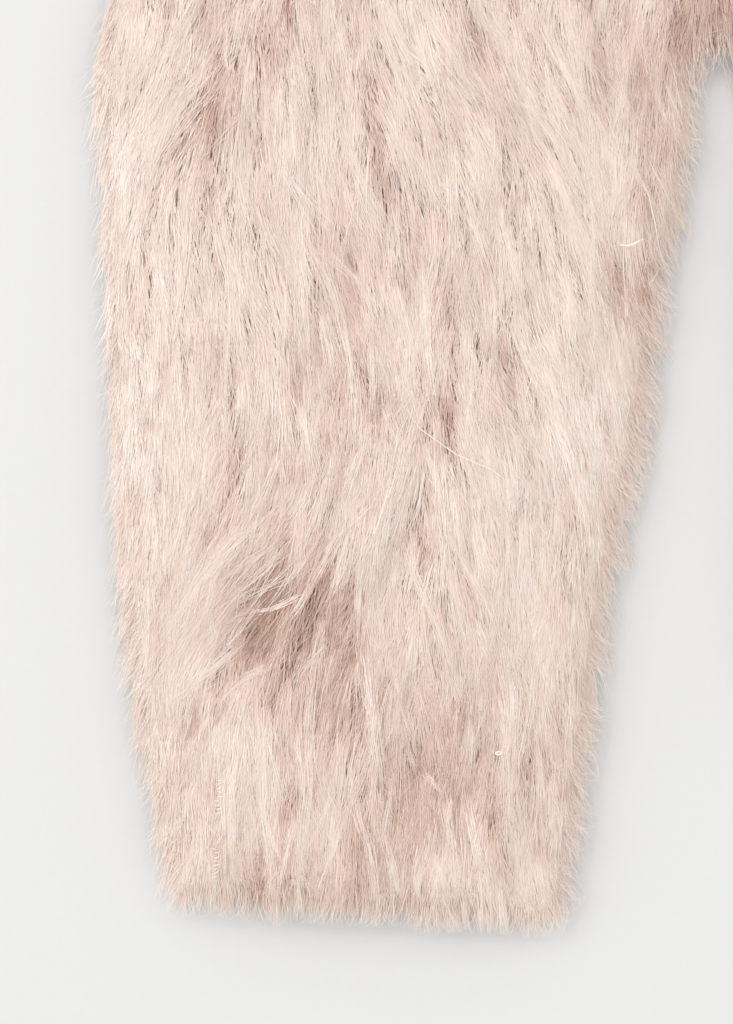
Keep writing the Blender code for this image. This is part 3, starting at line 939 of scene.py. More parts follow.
# Pile: piece, node, first and last share of its length from the top, blades, style
PILES = (
    ("undercoat_sleeve_right_upper", "sleeve_right", 0.00, 0.55, 27000, "undercoat_painted_light"),
    ("undercoat_sleeve_right_lower", "sleeve_right", 0.55, 1.00, 35000, "undercoat"),
    ("pile_sleeve_right_upper", "sleeve_right", 0.00, 0.42, 12500, "overcoat"),
    ("pile_sleeve_right_middle", "sleeve_right", 0.42, 0.71, 14000, "overcoat"),
    ("pile_sleeve_right_lower", "sleeve_right", 0.71, 1.00, 10500, "gathered"),
    ("fuzz_sleeve_right", "sleeve_right", 0.00, 1.00, 20000, "fuzz"),
    ("pile_sleeve_left", "sleeve_left", 0.00, 1.00, 27000, "unshown"),
    ("pile_front_upper", "front", 0.00, 0.48, 22000, "unshown"),
    ("pile_front_lower", "front", 0.48, 1.00, 22000, "unshown"),
)


def make_pile(row, number, fields, material):
    """One piece of pile, rooted over a stretch of its node."""
    name, node, first, last, count, style = row
    rng = np.random.default_rng(100 + number)
    grid_x, grid_y, regions = fields["x"], fields["y"], fields["regions"]
    low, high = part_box(node)
    top_y = high[1] - first * (high[1] - low[1])
    bottom_y = high[1] - last * (high[1] - low[1])
    region = regions[node] & (grid_y <= top_y) & (grid_y > bottom_y)
    if name == "pile_front_upper":
        neck_low, neck_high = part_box("neckband")
        shoulder = (grid_x < neck_low[0]) | (grid_x > neck_high[0])
        region = region | (regions["back"] & shoulder & np.roll(region, SHOULDER_CELLS, axis=0))
    right_x, upper_y = from_photo(PHOTO_WIDE + PHOTO_SPARE[0], -PHOTO_SPARE[1])
    in_photo = (grid_x < right_x) & (grid_y < upper_y)
    weights = np.where(in_photo | (style == "unshown"), 1.0, UNSHOWN_SHARE)
    if style in ("overcoat", "gathered"):
        ahead = fields["shade"].at(grid_x, grid_y - MID_BLADE)
        weights = weights * np.clip(1 + DARK_THINS * ahead, THINNEST, 1.0)
    depth = fields["depth"].at(grid_x, grid_y)
    slope_x, slope_y = fields["depth"].slope(grid_x, grid_y)
    weights = weights * (1 + UPPER_MORE * np.clip(-slope_y, 0.0, 1.0) * (depth < EDGE_ROOTS))
    if node != "front":
        weights = weights * (depth > SOFT_EDGE * np.clip(slope_x * np.sign(grid_x), 0.0, 1.0))
    else:
        weights = weights * (depth > 0)
    x, y = scattered(region, weights, count, fields, rng)
    paths, widths, shade, ups = comb(x, y, fields, rng, STYLES[style])
    return blades_mesh(name, paths, widths, shade, ups, material)


def surface_roots(node, count, rng, wanted):
    """Random points on a node's faces whose normal and place are wanted, with their normals."""
    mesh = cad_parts[node].data
    mesh.calc_loop_triangles()
    co = np.array([vertex.co[:] for vertex in mesh.vertices])
    corners = co[np.array([tuple(face.vertices) for face in mesh.loop_triangles])]
    normal = np.cross(corners[:, 1] - corners[:, 0], corners[:, 2] - corners[:, 0])
    area = np.linalg.norm(normal, axis=1)
    normal /= np.maximum(area[:, None], 1e-12)
    area = area * wanted(corners.mean(axis=1), normal)
    chosen = rng.choice(len(area), size=count, p=area / area.sum())
    a, b = rng.random(count), rng.random(count)
    over = a + b > 1
    a, b = np.where(over, 1 - a, a), np.where(over, 1 - b, b)
    face = corners[chosen]
    points = face[:, 0] + a[:, None] * (face[:, 1] - face[:, 0]) + b[:, None] * (face[:, 2] - face[:, 0])
    return points, normal[chosen]


# The pile on the rounded sides: node, blades, width in mm, length in metres
SKIRTS = (
    ("sleeve_right", 6000, 0.5, 0.024),
    ("sleeve_left", 5000, 1.1, 0.026),
    ("front", 5000, 1.1, 0.024),
    ("back", 6000, 1.1, 0.022),
)
SIDE_UP = 0.75  # a face that looks up more than this, or down more than the next, isn't a side
SIDE_DOWN = -0.9
SIDE_DEEP = 0.010  # how far inside the outline the sides reach
SIDE_OUT = 0.7  # how far the blades turn out where the nap runs inwards
SIDE_SHORT = 0.65  # how long those blades are, as a share
SIDE_ROOT_IN = 0.004  # how far behind the face they are rooted
SIDE_ROOT_DOWN = 0.0035  # how far below it, where the face looks up
SIDE_ARCH = 0.002  # how far they rise midway
SIDE_DROP = 0.008  # how far their tips hang down
SIDE_PAST = 0.0030  # scale of their reach past the outline
# Painted light: the blades on the rounded sides are paler than the pile on top, where they face away from
# the light
SIDE_SHADE_WITH_PAINTED_LIGHT = 0.80
SIDE_FINER = 0.35  # how much narrower the blades on a sleeve's inner side are


def make_skirt(row, number, fields, material):
    """The pile on a piece's rounded sides, which leans out along the nap and hangs to the floor."""
    node, count, width, length = row
    rng = np.random.default_rng(200 + number)

    def side(middle, normal):
        level = (normal[:, 2] < SIDE_UP) & (normal[:, 2] > SIDE_DOWN)
        return level & (fields["depth"].at(middle[:, 0], middle[:, 1]) < SIDE_DEEP)

    root, normal = surface_roots(node, count, rng, side)
    lean = fields["lean"].at(root[:, 0], root[:, 1]) + np.radians(rng.normal(0.0, 12.0, count))
    nap = np.stack([np.sin(lean), -np.cos(lean), np.zeros(count)], axis=1)
    out = unit(normal * np.array([1.0, 1.0, 0.0]))
    facing = np.sum(nap * out, axis=1, keepdims=True)
    nap = unit(np.where(facing < 0, nap + (SIDE_OUT - facing) * out, nap))
    share = np.linspace(0.0, 1.0, 4 if width < 1 else 3)[None, :, None]
    long = length * rng.uniform(0.6, 1.15, count) * np.where(facing[:, 0] < 0, SIDE_SHORT, 1.0)
    splay = rng.uniform(0.05, 0.30, count)[:, None, None]
    inside = root - out * SIDE_ROOT_IN - np.array([0.0, 0.0, SIDE_ROOT_DOWN]) * (normal[:, 2:] > 0)
    paths = inside[:, None, :] + (nap[:, None, :] + out[:, None, :] * splay) * long[:, None, None] * share
    inner = np.clip(-out[:, 0] * np.sign(root[:, 0]), 0.0, 1.0) * node.startswith("sleeve")
    allowed = np.minimum(rng.gamma(1.4, SIDE_PAST, count), FARTHEST) - 0.6 * SOFT_EDGE * inner
    px, py = pulled_in(paths[:, :, 0], paths[:, :, 1], allowed, fields)
    along = share[:, :, 0]
    hang = SIDE_ARCH * np.sin(math.pi * along) - SIDE_DROP * along**1.5
    paths = paths_through(px, py, paths[:, :, 2] + hang)
    ups = (out * 0.8 + np.array([0.0, 0.0, 0.6]))[:, None, :] + np.zeros(paths.shape)
    # Painted light: paler blades on sides that face away from the light
    shade = SIDE_SHADE_WITH_PAINTED_LIGHT + rng.normal(0.0, 0.08, count) + 0.4 * fields["shade"].at(root[:, 0], root[:, 1])
    widths = width * MM * rng.uniform(0.7, 1.2, count) * (1 - SIDE_FINER * inner)
    return blades_mesh(f"pile_{node}_sides", paths, widths, shade, ups, material)


NECK_BLADES = 10000
NECK_CENTRE = 0.02  # how far above its box's middle the neck's middle lies
NECK_TURN = 0.30  # how far the blades turn aside, in radians
NECK_DOWN = 0.55  # how far the nap points down as it falls outwards
NECK_LONG = (0.020, 0.036)
NECK_RISE = (0.0035, 0.0075)
NECK_ROOT = 0.003  # how far behind the face the blades are rooted
NECK_FLOOR = 0.0102  # top of the back panel under the neck's opening
NECK_SHADE = 0.70


def make_neck_pile(fields, material):
    """The neckband's pile: it falls outwards over the band, and down on the band's inner side."""
    rng = np.random.default_rng(300)
    low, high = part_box("neckband")
    centre = np.array([(low[0] + high[0]) / 2, (low[1] + high[1]) / 2 + NECK_CENTRE, 0.0])

    def mostly_up(_, normal):
        return 0.5 + np.maximum(normal[:, 2] + 0.3, 0.0)

    count = NECK_BLADES
    root, normal = surface_roots("neckband", count, rng, mostly_up)
    out = unit((root - centre) * np.array([1.0, 1.0, 0.0]))
    turn = rng.normal(0.0, NECK_TURN, count)
    aside = np.stack([-out[:, 1], out[:, 0], np.zeros(count)], axis=1)
    nap = out * np.cos(turn)[:, None] + aside * np.sin(turn)[:, None] - np.array([0.0, 0.0, NECK_DOWN])
    lay = unit(nap - normal * np.sum(nap * normal, axis=1, keepdims=True))
    within = np.sum(normal * out, axis=1) < -0.3
    share = np.linspace(0.0, 1.0, 4)[None, :, None]
    long = (rng.uniform(*NECK_LONG, count) * np.where(within, 0.55, 1.0))[:, None, None]
    rise = rng.uniform(*NECK_RISE, count)[:, None, None]
    inside = root - normal * NECK_ROOT
    paths = inside[:, None, :] + normal[:, None, :] * rise * np.sin(math.pi / 2 * share)
    paths = paths + lay[:, None, :] * long * share * 0.85
    along = share[:, :, 0]
    over = fields["top"].at(paths[:, :, 0], paths[:, :, 1]) + 0.002 * along - 0.001
    lowest = np.where(within[:, None], NECK_FLOOR, np.where(along > 0.3, over, LOWEST))
    paths[:, :, 2] = np.maximum(paths[:, :, 2], lowest)
    ups = normal[:, None, :] + np.zeros(paths.shape)
    shade = NECK_SHADE + rng.normal(0.0, 0.07, count)
    widths = MM * rng.uniform(0.5, 0.9, count)
    return blades_mesh("pile_neckband", paths, widths, shade, ups, material)


# Long loose wisps over the pile: x and y of their middle in the photograph's pixels, reach, how many,
# lean in degrees, length in metres
WISPS = (
    (290, 565, 46, 90, -44, 0.050),
    (240, 600, 46, 80, -40, 0.050),
    (190, 650, 32, 50, -35, 0.050),
    (200, 110, 36, 80, -36, 0.044),
    (310, 160, 60, 60, -8, 0.060),
    (560, 130, 60, 80, 34, 0.060),
    (470, 470, 60, 70, 40, 0.060),
    (640, 330, 18, 60, 34, 0.045),
    (640, 420, 20, 90, 32, 0.048),
    (622, 510, 20, 80, 22, 0.044),
    (605, 590, 16, 60, 16, 0.042),
    (668, 200, 24, 60, 26, 0.045),
    (690, 110, 18, 40, 12, 0.040),
    (595, 660, 20, 50, 14, 0.040),
    (575, 790, 18, 40, 10, 0.036),
    (300, 760, 90, 50, 4, 0.060),
    (400, 700, 90, 50, -4, 0.062),
    (118, 500, 14, 60, -14, 0.030),
    (103, 200, 12, 60, -12, 0.030),
)
WISPS_A_STRAND = 7
WISP_SPREAD = 0.7  # how far the strands lie from a mark's middle, as a share of its reach
WISP_APART = 0.0016  # how far the wisps of a strand lie from each other
WISP_REACH = 0.016  # how far a wisp may reach past the outline
WISP_RISE = (0.0004, 0.0024)
WISP_ROOT = 0.0012  # how far under the pile's surface a wisp begins


def make_wisps(fields, material):
    """Fine long wisps in loose strands."""
    rng = np.random.default_rng(400)
    share = np.linspace(0.0, 1.0, 7)[None, :]
    groups = []
    for mark_x, mark_y, reach, count, lean, length in WISPS:
        middle_x, middle_y = from_photo(mark_x, mark_y)
        strands = max(count // WISPS_A_STRAND, 1)
        strand = rng.integers(0, strands, count)
        spread = WISP_SPREAD * reach * PIXEL
        x = middle_x + rng.normal(0.0, spread, strands)[strand]
        y = middle_y + rng.normal(0.0, spread, strands)[strand]
        turn = np.radians(lean + rng.normal(0.0, 6.0, strands)[strand] + rng.normal(0.0, 2.5, count))
        curl = np.radians(rng.normal(0.0, 16.0, strands)[strand] + rng.normal(0.0, 5.0, count))
        waver = 0.12 * np.sin(7.0 * share + x[:, None] * 900.0)
        angle = turn[:, None] + curl[:, None] * (share - 0.4) + waver
        long = (length * rng.uniform(0.6, 1.15, count))[:, None]
        step = long / (share.shape[1] - 1)
        apart = rng.normal(0.0, WISP_APART, count)[:, None] * (1.2 - share)
        along = rng.uniform(-0.3, 0.3, count)[:, None] * long
        cosine, sine = np.cos(turn)[:, None], np.sin(turn)[:, None]
        px = x[:, None] + np.cumsum(np.sin(angle) * step, axis=1) - 0.5 * long * sine
        py = y[:, None] - np.cumsum(np.cos(angle) * step, axis=1) + 0.5 * long * cosine
        groups.append((px + apart * cosine + along * sine, py + apart * sine - along * cosine))
    px, py = (np.concatenate(places) for places in zip(*groups))
    px, py = pulled_in(px, py, WISP_REACH, fields)
    rooted = fields["depth"].at(px[:, 0], py[:, 0]) > 0.001
    within = np.max(-fields["depth"].at(px, py), axis=1) < WISP_REACH + 0.002
    px, py = px[rooted & within], py[rooted & within]
    count = len(px)
    rise = rng.uniform(*WISP_RISE, count)[:, None] * np.sin(math.pi * (0.1 + 0.8 * share))
    paths = paths_through(px, py, fields["top"].at(px, py) + rise - WISP_ROOT * (1 - share))
    widths = MM * rng.uniform(0.17, 0.31, count)
    shade = rng.uniform(0.66, 0.92, count)
    return blades_mesh("wisps_sleeve_right", paths, widths, shade, upright(paths), material)


# Pale locks that lie on the pile: width and places along the middle, in the photograph's pixels
LOCKS = (
    (12, ((197, 80), (179, 100), (164, 127), (154, 159), (150, 184))),
    (3, ((193, 51), (182, 58), (170, 67))),
    (6, ((130, 6), (117, 41), (111, 67))),
    (8, ((154, 127), (142, 159), (126, 204))),
    (4, ((236, 180), (226, 200), (217, 220), (211, 241))),
    (7, ((291, 78), (292, 114), (293, 143), (301, 184))),
    (7, ((377, 20), (391, 61), (409, 106))),
    (7, ((340, 122), (348, 155), (368, 196), (381, 224))),
    (5, ((315, 163), (324, 196), (334, 216))),
    (7, ((191, 178), (185, 204), (183, 237), (185, 259))),
    (5, ((264, 57), (268, 102), (266, 140))),
    (5, ((228, 30), (226, 56), (230, 80))),
    (7, ((382, 2), (394, 27), (405, 54), (425, 70))),
    (6, ((416, 7), (432, 27), (445, 47), (457, 74), (468, 110))),
    (10, ((560, 2), (574, 36), (578, 74), (583, 108), (592, 140), (589, 171), (594, 225))),
    (8, ((538, 23), (551, 52), (565, 77), (578, 106), (587, 133))),
    (5, ((529, 106), (547, 135), (560, 155), (571, 178), (576, 194))),
    (9, ((533, 140), (551, 167), (562, 198), (574, 225), (583, 252))),
    (5, ((619, 144), (632, 167), (648, 196), (659, 223))),
    (8, ((623, 43), (623, 90), (616, 122), (610, 144))),
    (6, ((641, 34), (648, 72), (657, 97), (668, 122), (680, 140))),
    (4, ((666, 54), (682, 70), (691, 95), (691, 126), (686, 171))),
    (5, ((614, 153), (614, 198), (607, 232))),
    (6, ((389, 144), (398, 171), (409, 203), (414, 248))),
    (9, ((445, 113), (450, 155), (452, 203), (454, 257))),
    (6, ((477, 162), (497, 203), (506, 252))),
    (6, ((506, 131), (515, 171), (522, 200))),
    (5, ((587, 65), (598, 90), (607, 117))),
    (9, ((315, 251), (330, 283), (339, 312), (349, 361), (358, 414))),
    (6, ((326, 253), (345, 270), (365, 292), (369, 314))),
    (5, ((302, 290), (308, 338), (310, 361))),
    (5, ((284, 283), (287, 327), (284, 357))),
    (8, ((182, 244), (182, 296), (174, 331), (172, 361))),
    (5, ((217, 268), (208, 312), (206, 335))),
    (8, ((228, 348), (224, 392), (228, 448))),
    (6, ((206, 392), (195, 435), (193, 474))),
    (6, ((265, 414), (252, 446), (243, 466))),
    (8, ((328, 366), (317, 414), (313, 446), (310, 479))),
    (5, ((384, 409), (393, 435), (401, 448))),
    (9, ((362, 422), (356, 457), (349, 489), (341, 515))),
    (7, ((371, 348), (373, 392), (367, 435))),
    (8, ((421, 262), (425, 305), (427, 361), (434, 405))),
    (7, ((421, 442), (432, 468), (440, 500))),
    (5, ((161, 379), (152, 400), (143, 418))),
    (6, ((176, 392), (173, 415), (172, 435))),
    (6, ((556, 180), (571, 212), (585, 248), (590, 272), (588, 316))),
    (5, ((588, 180), (592, 228), (591, 277), (588, 316), (586, 350))),
    (6, ((493, 204), (505, 241), (512, 265), (518, 282))),
    (6, ((546, 398), (571, 427), (590, 444), (592, 471), (590, 495), (595, 531))),
    (5, ((512, 430), (532, 471), (546, 495))),
    (7, ((631, 374), (641, 413), (643, 471), (641, 531))),
    (6, ((609, 316), (619, 364), (636, 398))),
    (4, ((478, 451), (510, 471), (539, 497))),
    (5, ((566, 296), (575, 325), (585, 359))),
    (5, ((607, 493), (600, 519), (595, 556))),
    (5, ((273, 545), (244, 564), (228, 576))),
    (10, ((236, 540), (218, 558), (199, 582), (173, 623), (159, 640))),
    (5, ((301, 594), (273, 609), (244, 613), (228, 623))),
    (7, ((232, 653), (212, 670), (187, 690), (167, 707))),
    (5, ((273, 664), (244, 676), (228, 692), (216, 707))),
    (6, ((212, 623), (216, 635), (208, 649))),
    (6, ((330, 547), (320, 568), (303, 602), (289, 619))),
    (6, ((346, 558), (336, 586), (326, 607))),
    (6, ((369, 521), (359, 578), (357, 623), (357, 640))),
    (7, ((412, 533), (410, 566), (420, 586))),
    (7, ((404, 541), (415, 579), (434, 616), (444, 646), (460, 689))),
    (5, ((442, 525), (460, 555), (484, 600), (500, 640))),
    (10, ((503, 649), (511, 707), (506, 748), (509, 777))),
    (7, ((391, 665), (401, 697), (415, 740))),
    (5, ((401, 681), (396, 721), (382, 748))),
    (5, ((468, 691), (471, 742), (468, 769))),
    (9, ((444, 796), (452, 841), (439, 863), (428, 906))),
    (5, ((420, 769), (432, 780), (442, 794))),
    (6, ((466, 804), (476, 855), (492, 884))),
    (6, ((551, 788), (551, 823), (563, 852))),
    (6, ((525, 841), (535, 880), (541, 904))),
    (6, ((383, 833), (396, 876), (404, 908))),
    (5, ((428, 849), (420, 876), (417, 900))),
    (5, ((589, 635), (570, 667), (559, 689))),
    (5, ((594, 574), (592, 608), (602, 627))),
    (4, ((565, 568), (572, 582), (578, 595))),
    (8, ((533, 580), (536, 600), (538, 620))),
    (12, ((228, 735), (229, 780), (231, 830), (230, 880))),
    (9, ((258, 701), (261, 762), (264, 820), (272, 864), (277, 905))),
    (9, ((311, 687), (307, 726), (309, 754), (311, 783), (301, 844), (302, 903))),
    (12, ((366, 660), (372, 722), (376, 754), (379, 775))),
    (6, ((293, 738), (301, 766), (305, 785))),
    (6, ((334, 793), (323, 815), (313, 840))),
    (5, ((342, 820), (332, 848), (321, 877), (313, 903))),
    (6, ((354, 795), (360, 824), (370, 850), (371, 880))),
    (6, ((389, 852), (393, 877), (403, 903))),
    (5, ((246, 800), (247, 824), (249, 856))),
    (5, ((266, 820), (272, 838), (281, 858))),
    (5, ((299, 813), (289, 844), (281, 885))),
    (6, ((421, 842), (415, 877), (419, 903))),
    (7, ((197, 783), (187, 807), (172, 836))),
    (5, ((162, 701), (155, 726), (150, 744))),
    (10, ((217, 725), (216, 745), (218, 766))),
)
LOCK_HAIRS = 7.0  # hairs for each pixel of a lock's width
LOWER_LOCKS = 600  # locks that start further down the photograph than this are paler
LOCK_SPREAD = 0.42  # how far its hairs lie from a lock's middle, as a share of its width
LOCK_NARROWS = 0.40  # how much closer they lie at its tip
LOCK_SWAY = 0.0004
LOCK_REACH = 0.004  # how far they may reach past the outline
# Shade of a lock: at no width, for each pixel of its width, and more lower down
LOCK_SHADE = 0.68
WIDE_SHADE = 0.013
LOWER_SHADE = 0.04
# Where the locks lie: piece, side of the garment, share of the hairs. Side is 1 as in the photograph.
LOCK_SETS = (("locks_sleeve_right", 1, 1.0), ("locks_sleeve_left", -1, 0.3))

HAZE_HAIRS = 4400
HAZE_DEEP = 0.010  # how far inside the outline the haze is rooted
HAZE_LONG = 0.020
HAZE_REACH = 0.012
HAZE_CURL = 55.0  # degrees
HAZE_SINKS = 0.55  # how far the haze comes down past the outline, as a share of its height
HAZE_RISE = 0.0012

# Hairs placed one by one, by the photograph's pixels: width in mm, and six points from root to tip
CURLS = (
    (0.60, ((616, 243), (620, 246), (626, 246), (633, 244), (640, 240), (649, 237))),
    (0.45, ((617, 241), (621, 245), (628, 247), (635, 244), (642, 240), (651, 240))),
    (0.35, ((649, 237), (655, 243), (662, 252), (669, 261), (677, 270), (687, 280))),
    (0.45, ((640, 182), (648, 196), (655, 222), (661, 247), (668, 262), (674, 278))),
    (0.40, ((668, 258), (663, 265), (659, 272), (654, 279), (650, 283), (646, 287))),
    (0.45, ((395, 395), (420, 430), (455, 455), (490, 470), (520, 492), (548, 524))),
)
CURL_RISE = 0.0022  # how far they stand out from the pile
CURL_SHADE = 0.98
# Rows of stitches in the photograph's pixels: x, first y, last y and how many
PARTINGS = ((220, 779, 811, 9), (217, 848, 876, 8))
STITCH_LONG = 0.0044
STITCH_RISE = 0.0014  # height of a stitch's middle over the pile
STITCH_BEND = 0.0050  # how fast it comes down to its ends
STITCH_SHADE = 0.86
KNOT_PLACE = (498, 752)
KNOT_RISE = 0.0012


def make_locks(row, number, fields, material):
    """Pale locks of fine hairs that draw together towards their tips, laid as listed."""
    name, side, share_of_hairs = row
    rng = np.random.default_rng(600 + number)
    share = np.linspace(0.0, 1.0, 7)
    paths_x, paths_y, shades = [], [], []
    for width, places in LOCKS:
        across, along = from_photo(*np.array(places, float).T)
        stretch = np.concatenate([[0.0], np.cumsum(np.hypot(np.diff(across), np.diff(along)))])
        count = max(int(width * LOCK_HAIRS * share_of_hairs), 5)
        first = rng.uniform(-0.25, 0.45, count)
        last = first + rng.uniform(0.45, 0.85, count)
        at = (first[:, None] + (last - first)[:, None] * share) * stretch[-1]
        x = np.interp(at, stretch, across)
        y = np.interp(at, stretch, along)
        before, after = np.minimum(at, 0.0), np.maximum(at - stretch[-1], 0.0)
        for over, one, two in ((before, 0, 1), (after, -2, -1)):
            long = math.hypot(across[two] - across[one], along[two] - along[one])
            x = x + over * (across[two] - across[one]) / long
            y = y + over * (along[two] - along[one]) / long
        for places_along in (x, y):
            between_ends = places_along[:, :-2] + 2 * places_along[:, 1:-1] + places_along[:, 2:]
            places_along[:, 1:-1] = between_ends / 4
        ahead_x, ahead_y = np.gradient(x, axis=1), np.gradient(y, axis=1)
        length = np.maximum(np.hypot(ahead_x, ahead_y), 1e-6)
        narrowed = 1.0 - LOCK_NARROWS * np.clip(at / stretch[-1], 0.0, 1.0)
        apart = LOCK_SPREAD * width * PIXEL * rng.normal(0.0, 1.0, count)[:, None] * narrowed
        sway = LOCK_SWAY * rng.normal(0.0, 1.0, count)[:, None]
        phase = rng.uniform(0, 6.0, count)[:, None]
        apart = apart + sway * np.sin(4.0 * share + phase)
        paths_x.append(side * (x - apart * ahead_y / length))
        paths_y.append(y + apart * ahead_x / length)
        pale = LOCK_SHADE + WIDE_SHADE * width + LOWER_SHADE * (places[0][1] > LOWER_LOCKS)
        shades.append(np.full(count, rng.normal(pale, 0.03)) + rng.normal(0.0, 0.04, count))
    px, py = pulled_in(np.concatenate(paths_x), np.concatenate(paths_y), LOCK_REACH, fields)
    count = len(px)
    root = rng.uniform(-0.0010, 0.0002, count)[:, None] * (1 - share) ** 2
    rise = rng.uniform(0.0001, 0.0007, count)[:, None] * np.sin(math.pi * (0.15 + 0.7 * share))
    paths = paths_through(px, py, fields["top"].at(px, py) + root + rise)
    widths = MM * rng.uniform(0.24, 0.38, count) / math.sqrt(share_of_hairs)
    return blades_mesh(name, paths, widths, np.concatenate(shades), off_surface(px, py, fields), material)


def make_haze(fields, material):
    """The finest hairs, which stand out past the outline in a soft curled haze, most on the inner side."""
    rng = np.random.default_rng(700)
    count = HAZE_HAIRS
    depth = fields["depth"].at(fields["x"], fields["y"])
    slope_x, slope_y = fields["depth"].slope(fields["x"], fields["y"])
    inner = np.clip(slope_x * np.sign(fields["x"]), 0.0, 1.0)
    weights = 0.20 + inner + 0.6 * np.clip(slope_y, 0.0, 1.0)
    region = fields["regions"]["sleeve_right"] & (depth < HAZE_DEEP)
    x, y = scattered(region, weights, count, fields, rng)
    share = np.linspace(0.0, 1.0, 6)[None, :]
    edge_x, edge_y = fields["depth"].slope(x, y)
    steep = np.maximum(np.hypot(edge_x, edge_y), 0.2)
    lean = fields["lean"].at(x, y)
    splay = rng.uniform(0.10, 1.10, count)
    toward_x = np.sin(lean) - splay * edge_x / steep
    toward_y = -np.cos(lean) - splay * edge_y / steep
    curl = np.radians(rng.normal(0.0, HAZE_CURL, count))
    turn = np.arctan2(toward_x, -toward_y)[:, None] + curl[:, None] * (share - 0.3)
    long = (HAZE_LONG * rng.uniform(0.45, 1.2, count))[:, None]
    step = long / (share.shape[1] - 1)
    px = x[:, None] + np.cumsum(np.sin(turn) * step, axis=1)
    py = y[:, None] - np.cumsum(np.cos(turn) * step, axis=1)
    px, py = pulled_in(px, py, HAZE_REACH, fields)
    held = fields["top"].at(px[:, 0], py[:, 0])[:, None] * (1 - HAZE_SINKS * share)
    paths = paths_through(px, py, np.maximum(fields["top"].at(px, py), held) + HAZE_RISE * share)
    widths = MM * rng.uniform(0.14, 0.26, count)
    shade = rng.uniform(0.60, 0.88, count)
    return blades_mesh("haze_sleeve_right", paths, widths, shade, upright(paths), material)


def make_curls(fields, material):
    """Single curled and crossing hairs that stand out from the pile."""
    places = np.array([points for _, points in CURLS], float)
    px, py = from_photo(places[:, :, 0], places[:, :, 1])
    rise = CURL_RISE * np.sin(math.pi * np.linspace(0.1, 0.8, px.shape[1]))[None, :]
    paths = paths_through(px, py, fields["top"].at(px, py) + rise)
    widths = MM * np.array([width for width, _ in CURLS])
    shade = np.full(len(CURLS), CURL_SHADE)
    return blades_mesh("curls_sleeve_right", paths, widths, shade, upright(paths), material)


def make_partings(fields, material):
    """Short pale stitches, one under another, where the pile parts above the cuff."""
    rng = np.random.default_rng(500)
    middle_x = np.concatenate([np.full(count, x) for x, _, _, count in PARTINGS])
    middle_y = np.concatenate([np.linspace(first, last, count) for _, first, last, count in PARTINGS])
    count = len(middle_x)
    x, y = from_photo(middle_x + rng.normal(0.0, 1.0, count), middle_y + rng.normal(0.0, 0.5, count))
    along = np.linspace(-0.5, 0.5, 5)[None, :]
    long = STITCH_LONG * rng.uniform(0.6, 1.1, count)[:, None]
    px = x[:, None] + along * long
    py = y[:, None] + along * long * rng.normal(0.35, 0.25, count)[:, None]
    paths = paths_through(px, py, fields["top"].at(px, py) + STITCH_RISE - STITCH_BEND * along**2)
    widths = MM * rng.uniform(0.45, 0.70, count)
    shade = np.full(count, STITCH_SHADE)
    return blades_mesh("stitches_sleeve_right", paths, widths, shade, upright(paths), material)


def make_knot(fields, material):
    """The end of a sewing thread, tied in a small knot."""
    x, y = from_photo(*KNOT_PLACE)
    z = float(fields["top"].at(np.array([x]), np.array([y]))[0]) + KNOT_RISE
    bpy.ops.object.select_all(action="DESELECT")
    bpy.ops.mesh.primitive_torus_add(
        location=(x, y, z),
        rotation=(0.5, 0.3, 0.8),
        major_segments=14,
        minor_segments=7,
        major_radius=0.0009,
        minor_radius=0.00055,
    )
    knot = bpy.context.object
    knot.name = "knot_sleeve_right"
    bpy.ops.object.mode_set(mode="EDIT")
    bpy.ops.mesh.select_all(action="SELECT")
    bpy.ops.transform.resize(value=(1.5, 0.9, 0.8))
    bpy.ops.object.mode_set(mode="OBJECT")
    bpy.ops.object.shade_smooth()
    bpy.ops.object.transform_apply(location=True, rotation=True, scale=True)
    knot.data.materials.append(material)
    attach(knot, "root")
    return knot


# Stage, light and camera


def make_stage():
    """The pale surface that the sweater lies on."""
    bpy.ops.mesh.primitive_plane_add(size=FLOOR_WIDE, location=(0.0, 0.0, 0.0))
    floor = bpy.context.object
    floor.name = "floor"
    floor.data.materials.append(floor_material())


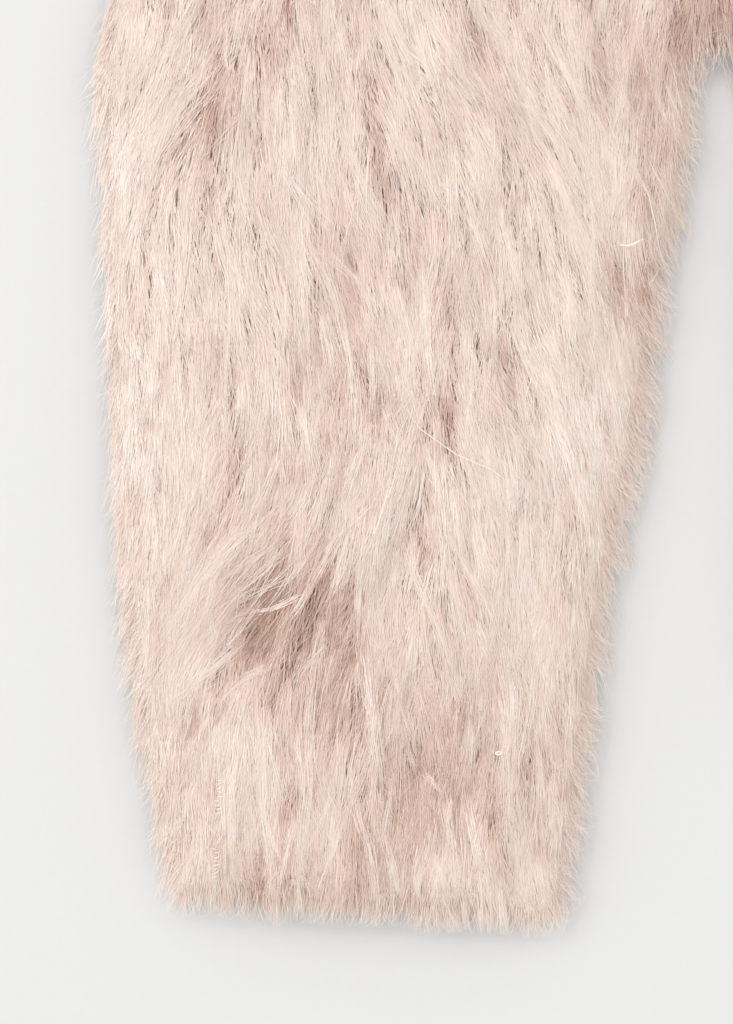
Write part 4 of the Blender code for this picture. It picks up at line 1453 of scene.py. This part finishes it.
def make_light():
    """A large soft light from the upper left, and an even pale sky."""
    world = bpy.data.worlds.new("pale_sky")
    bpy.context.scene.world = world
    world.use_nodes = True
    sky = world.node_tree.nodes["Background"]
    sky.inputs["Color"].default_value = SKY_WHITE
    sky.inputs["Strength"].default_value = SKY_STRENGTH
    bpy.ops.object.light_add(type="AREA", location=KEY_PLACE)
    key = bpy.context.object
    key.name = "key_light"
    key.data.energy = KEY_POWER
    key.data.size = KEY_SIZE
    aim = Vector(KEY_AIM) - Vector(KEY_PLACE)
    key.rotation_euler = aim.to_track_quat("-Z", "Y").to_euler()


def make_camera():
    """Straight above the sleeve, with the photograph's frame."""
    x, y = from_photo(PHOTO_WIDE / 2, PHOTO_HIGH / 2)
    far = PHOTO_HIGH * PIXEL * LENS / SENSOR
    bpy.ops.object.camera_add(location=(x, y, PILE_LEVEL + far), rotation=(0.0, 0.0, 0.0))
    camera = bpy.context.object
    camera.data.lens = LENS
    camera.data.sensor_width = SENSOR
    bpy.context.scene.camera = camera


# The garment

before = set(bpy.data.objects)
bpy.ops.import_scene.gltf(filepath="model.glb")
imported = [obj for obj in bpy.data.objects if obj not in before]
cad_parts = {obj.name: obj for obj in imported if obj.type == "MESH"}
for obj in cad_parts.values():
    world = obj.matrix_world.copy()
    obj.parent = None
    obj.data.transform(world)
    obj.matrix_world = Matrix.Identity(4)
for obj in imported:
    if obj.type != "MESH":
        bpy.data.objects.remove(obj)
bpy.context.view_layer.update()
bpy.context.scene.view_settings.view_transform = "Standard"
make_camera()
fields = make_fields()

pile = pile_material()
knit = backing_material()
backings = {node: make_backing(node, fields, knit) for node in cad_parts}

pieces = [make_pile(row, number, fields, pile) for number, row in enumerate(PILES)]
pieces += [make_skirt(row, number, fields, pile) for number, row in enumerate(SKIRTS)]
pieces.append(make_neck_pile(fields, pile))
pieces.append(make_curls(fields, pile))
pieces.append(make_partings(fields, pile))
pieces.append(make_knot(fields, thread_material()))
pieces.append(make_wisps(fields, pile))
pieces += [make_locks(row, number, fields, pile) for number, row in enumerate(LOCK_SETS)]
pieces.append(make_haze(fields, pile))

# The laid cut of each sheet, across and along, in metres
CUTS = {
    "sleeve_right": (0.60, 0.62),
    "sleeve_left": (0.60, 0.62),
    "front": (0.58, 0.60),
    "back": (0.58, 0.60),
    "neckband": (0.04, 0.50),
}
for node, flat in CUTS.items():
    own = [piece for piece in pieces if node in piece.name]

make_stage()
make_light()
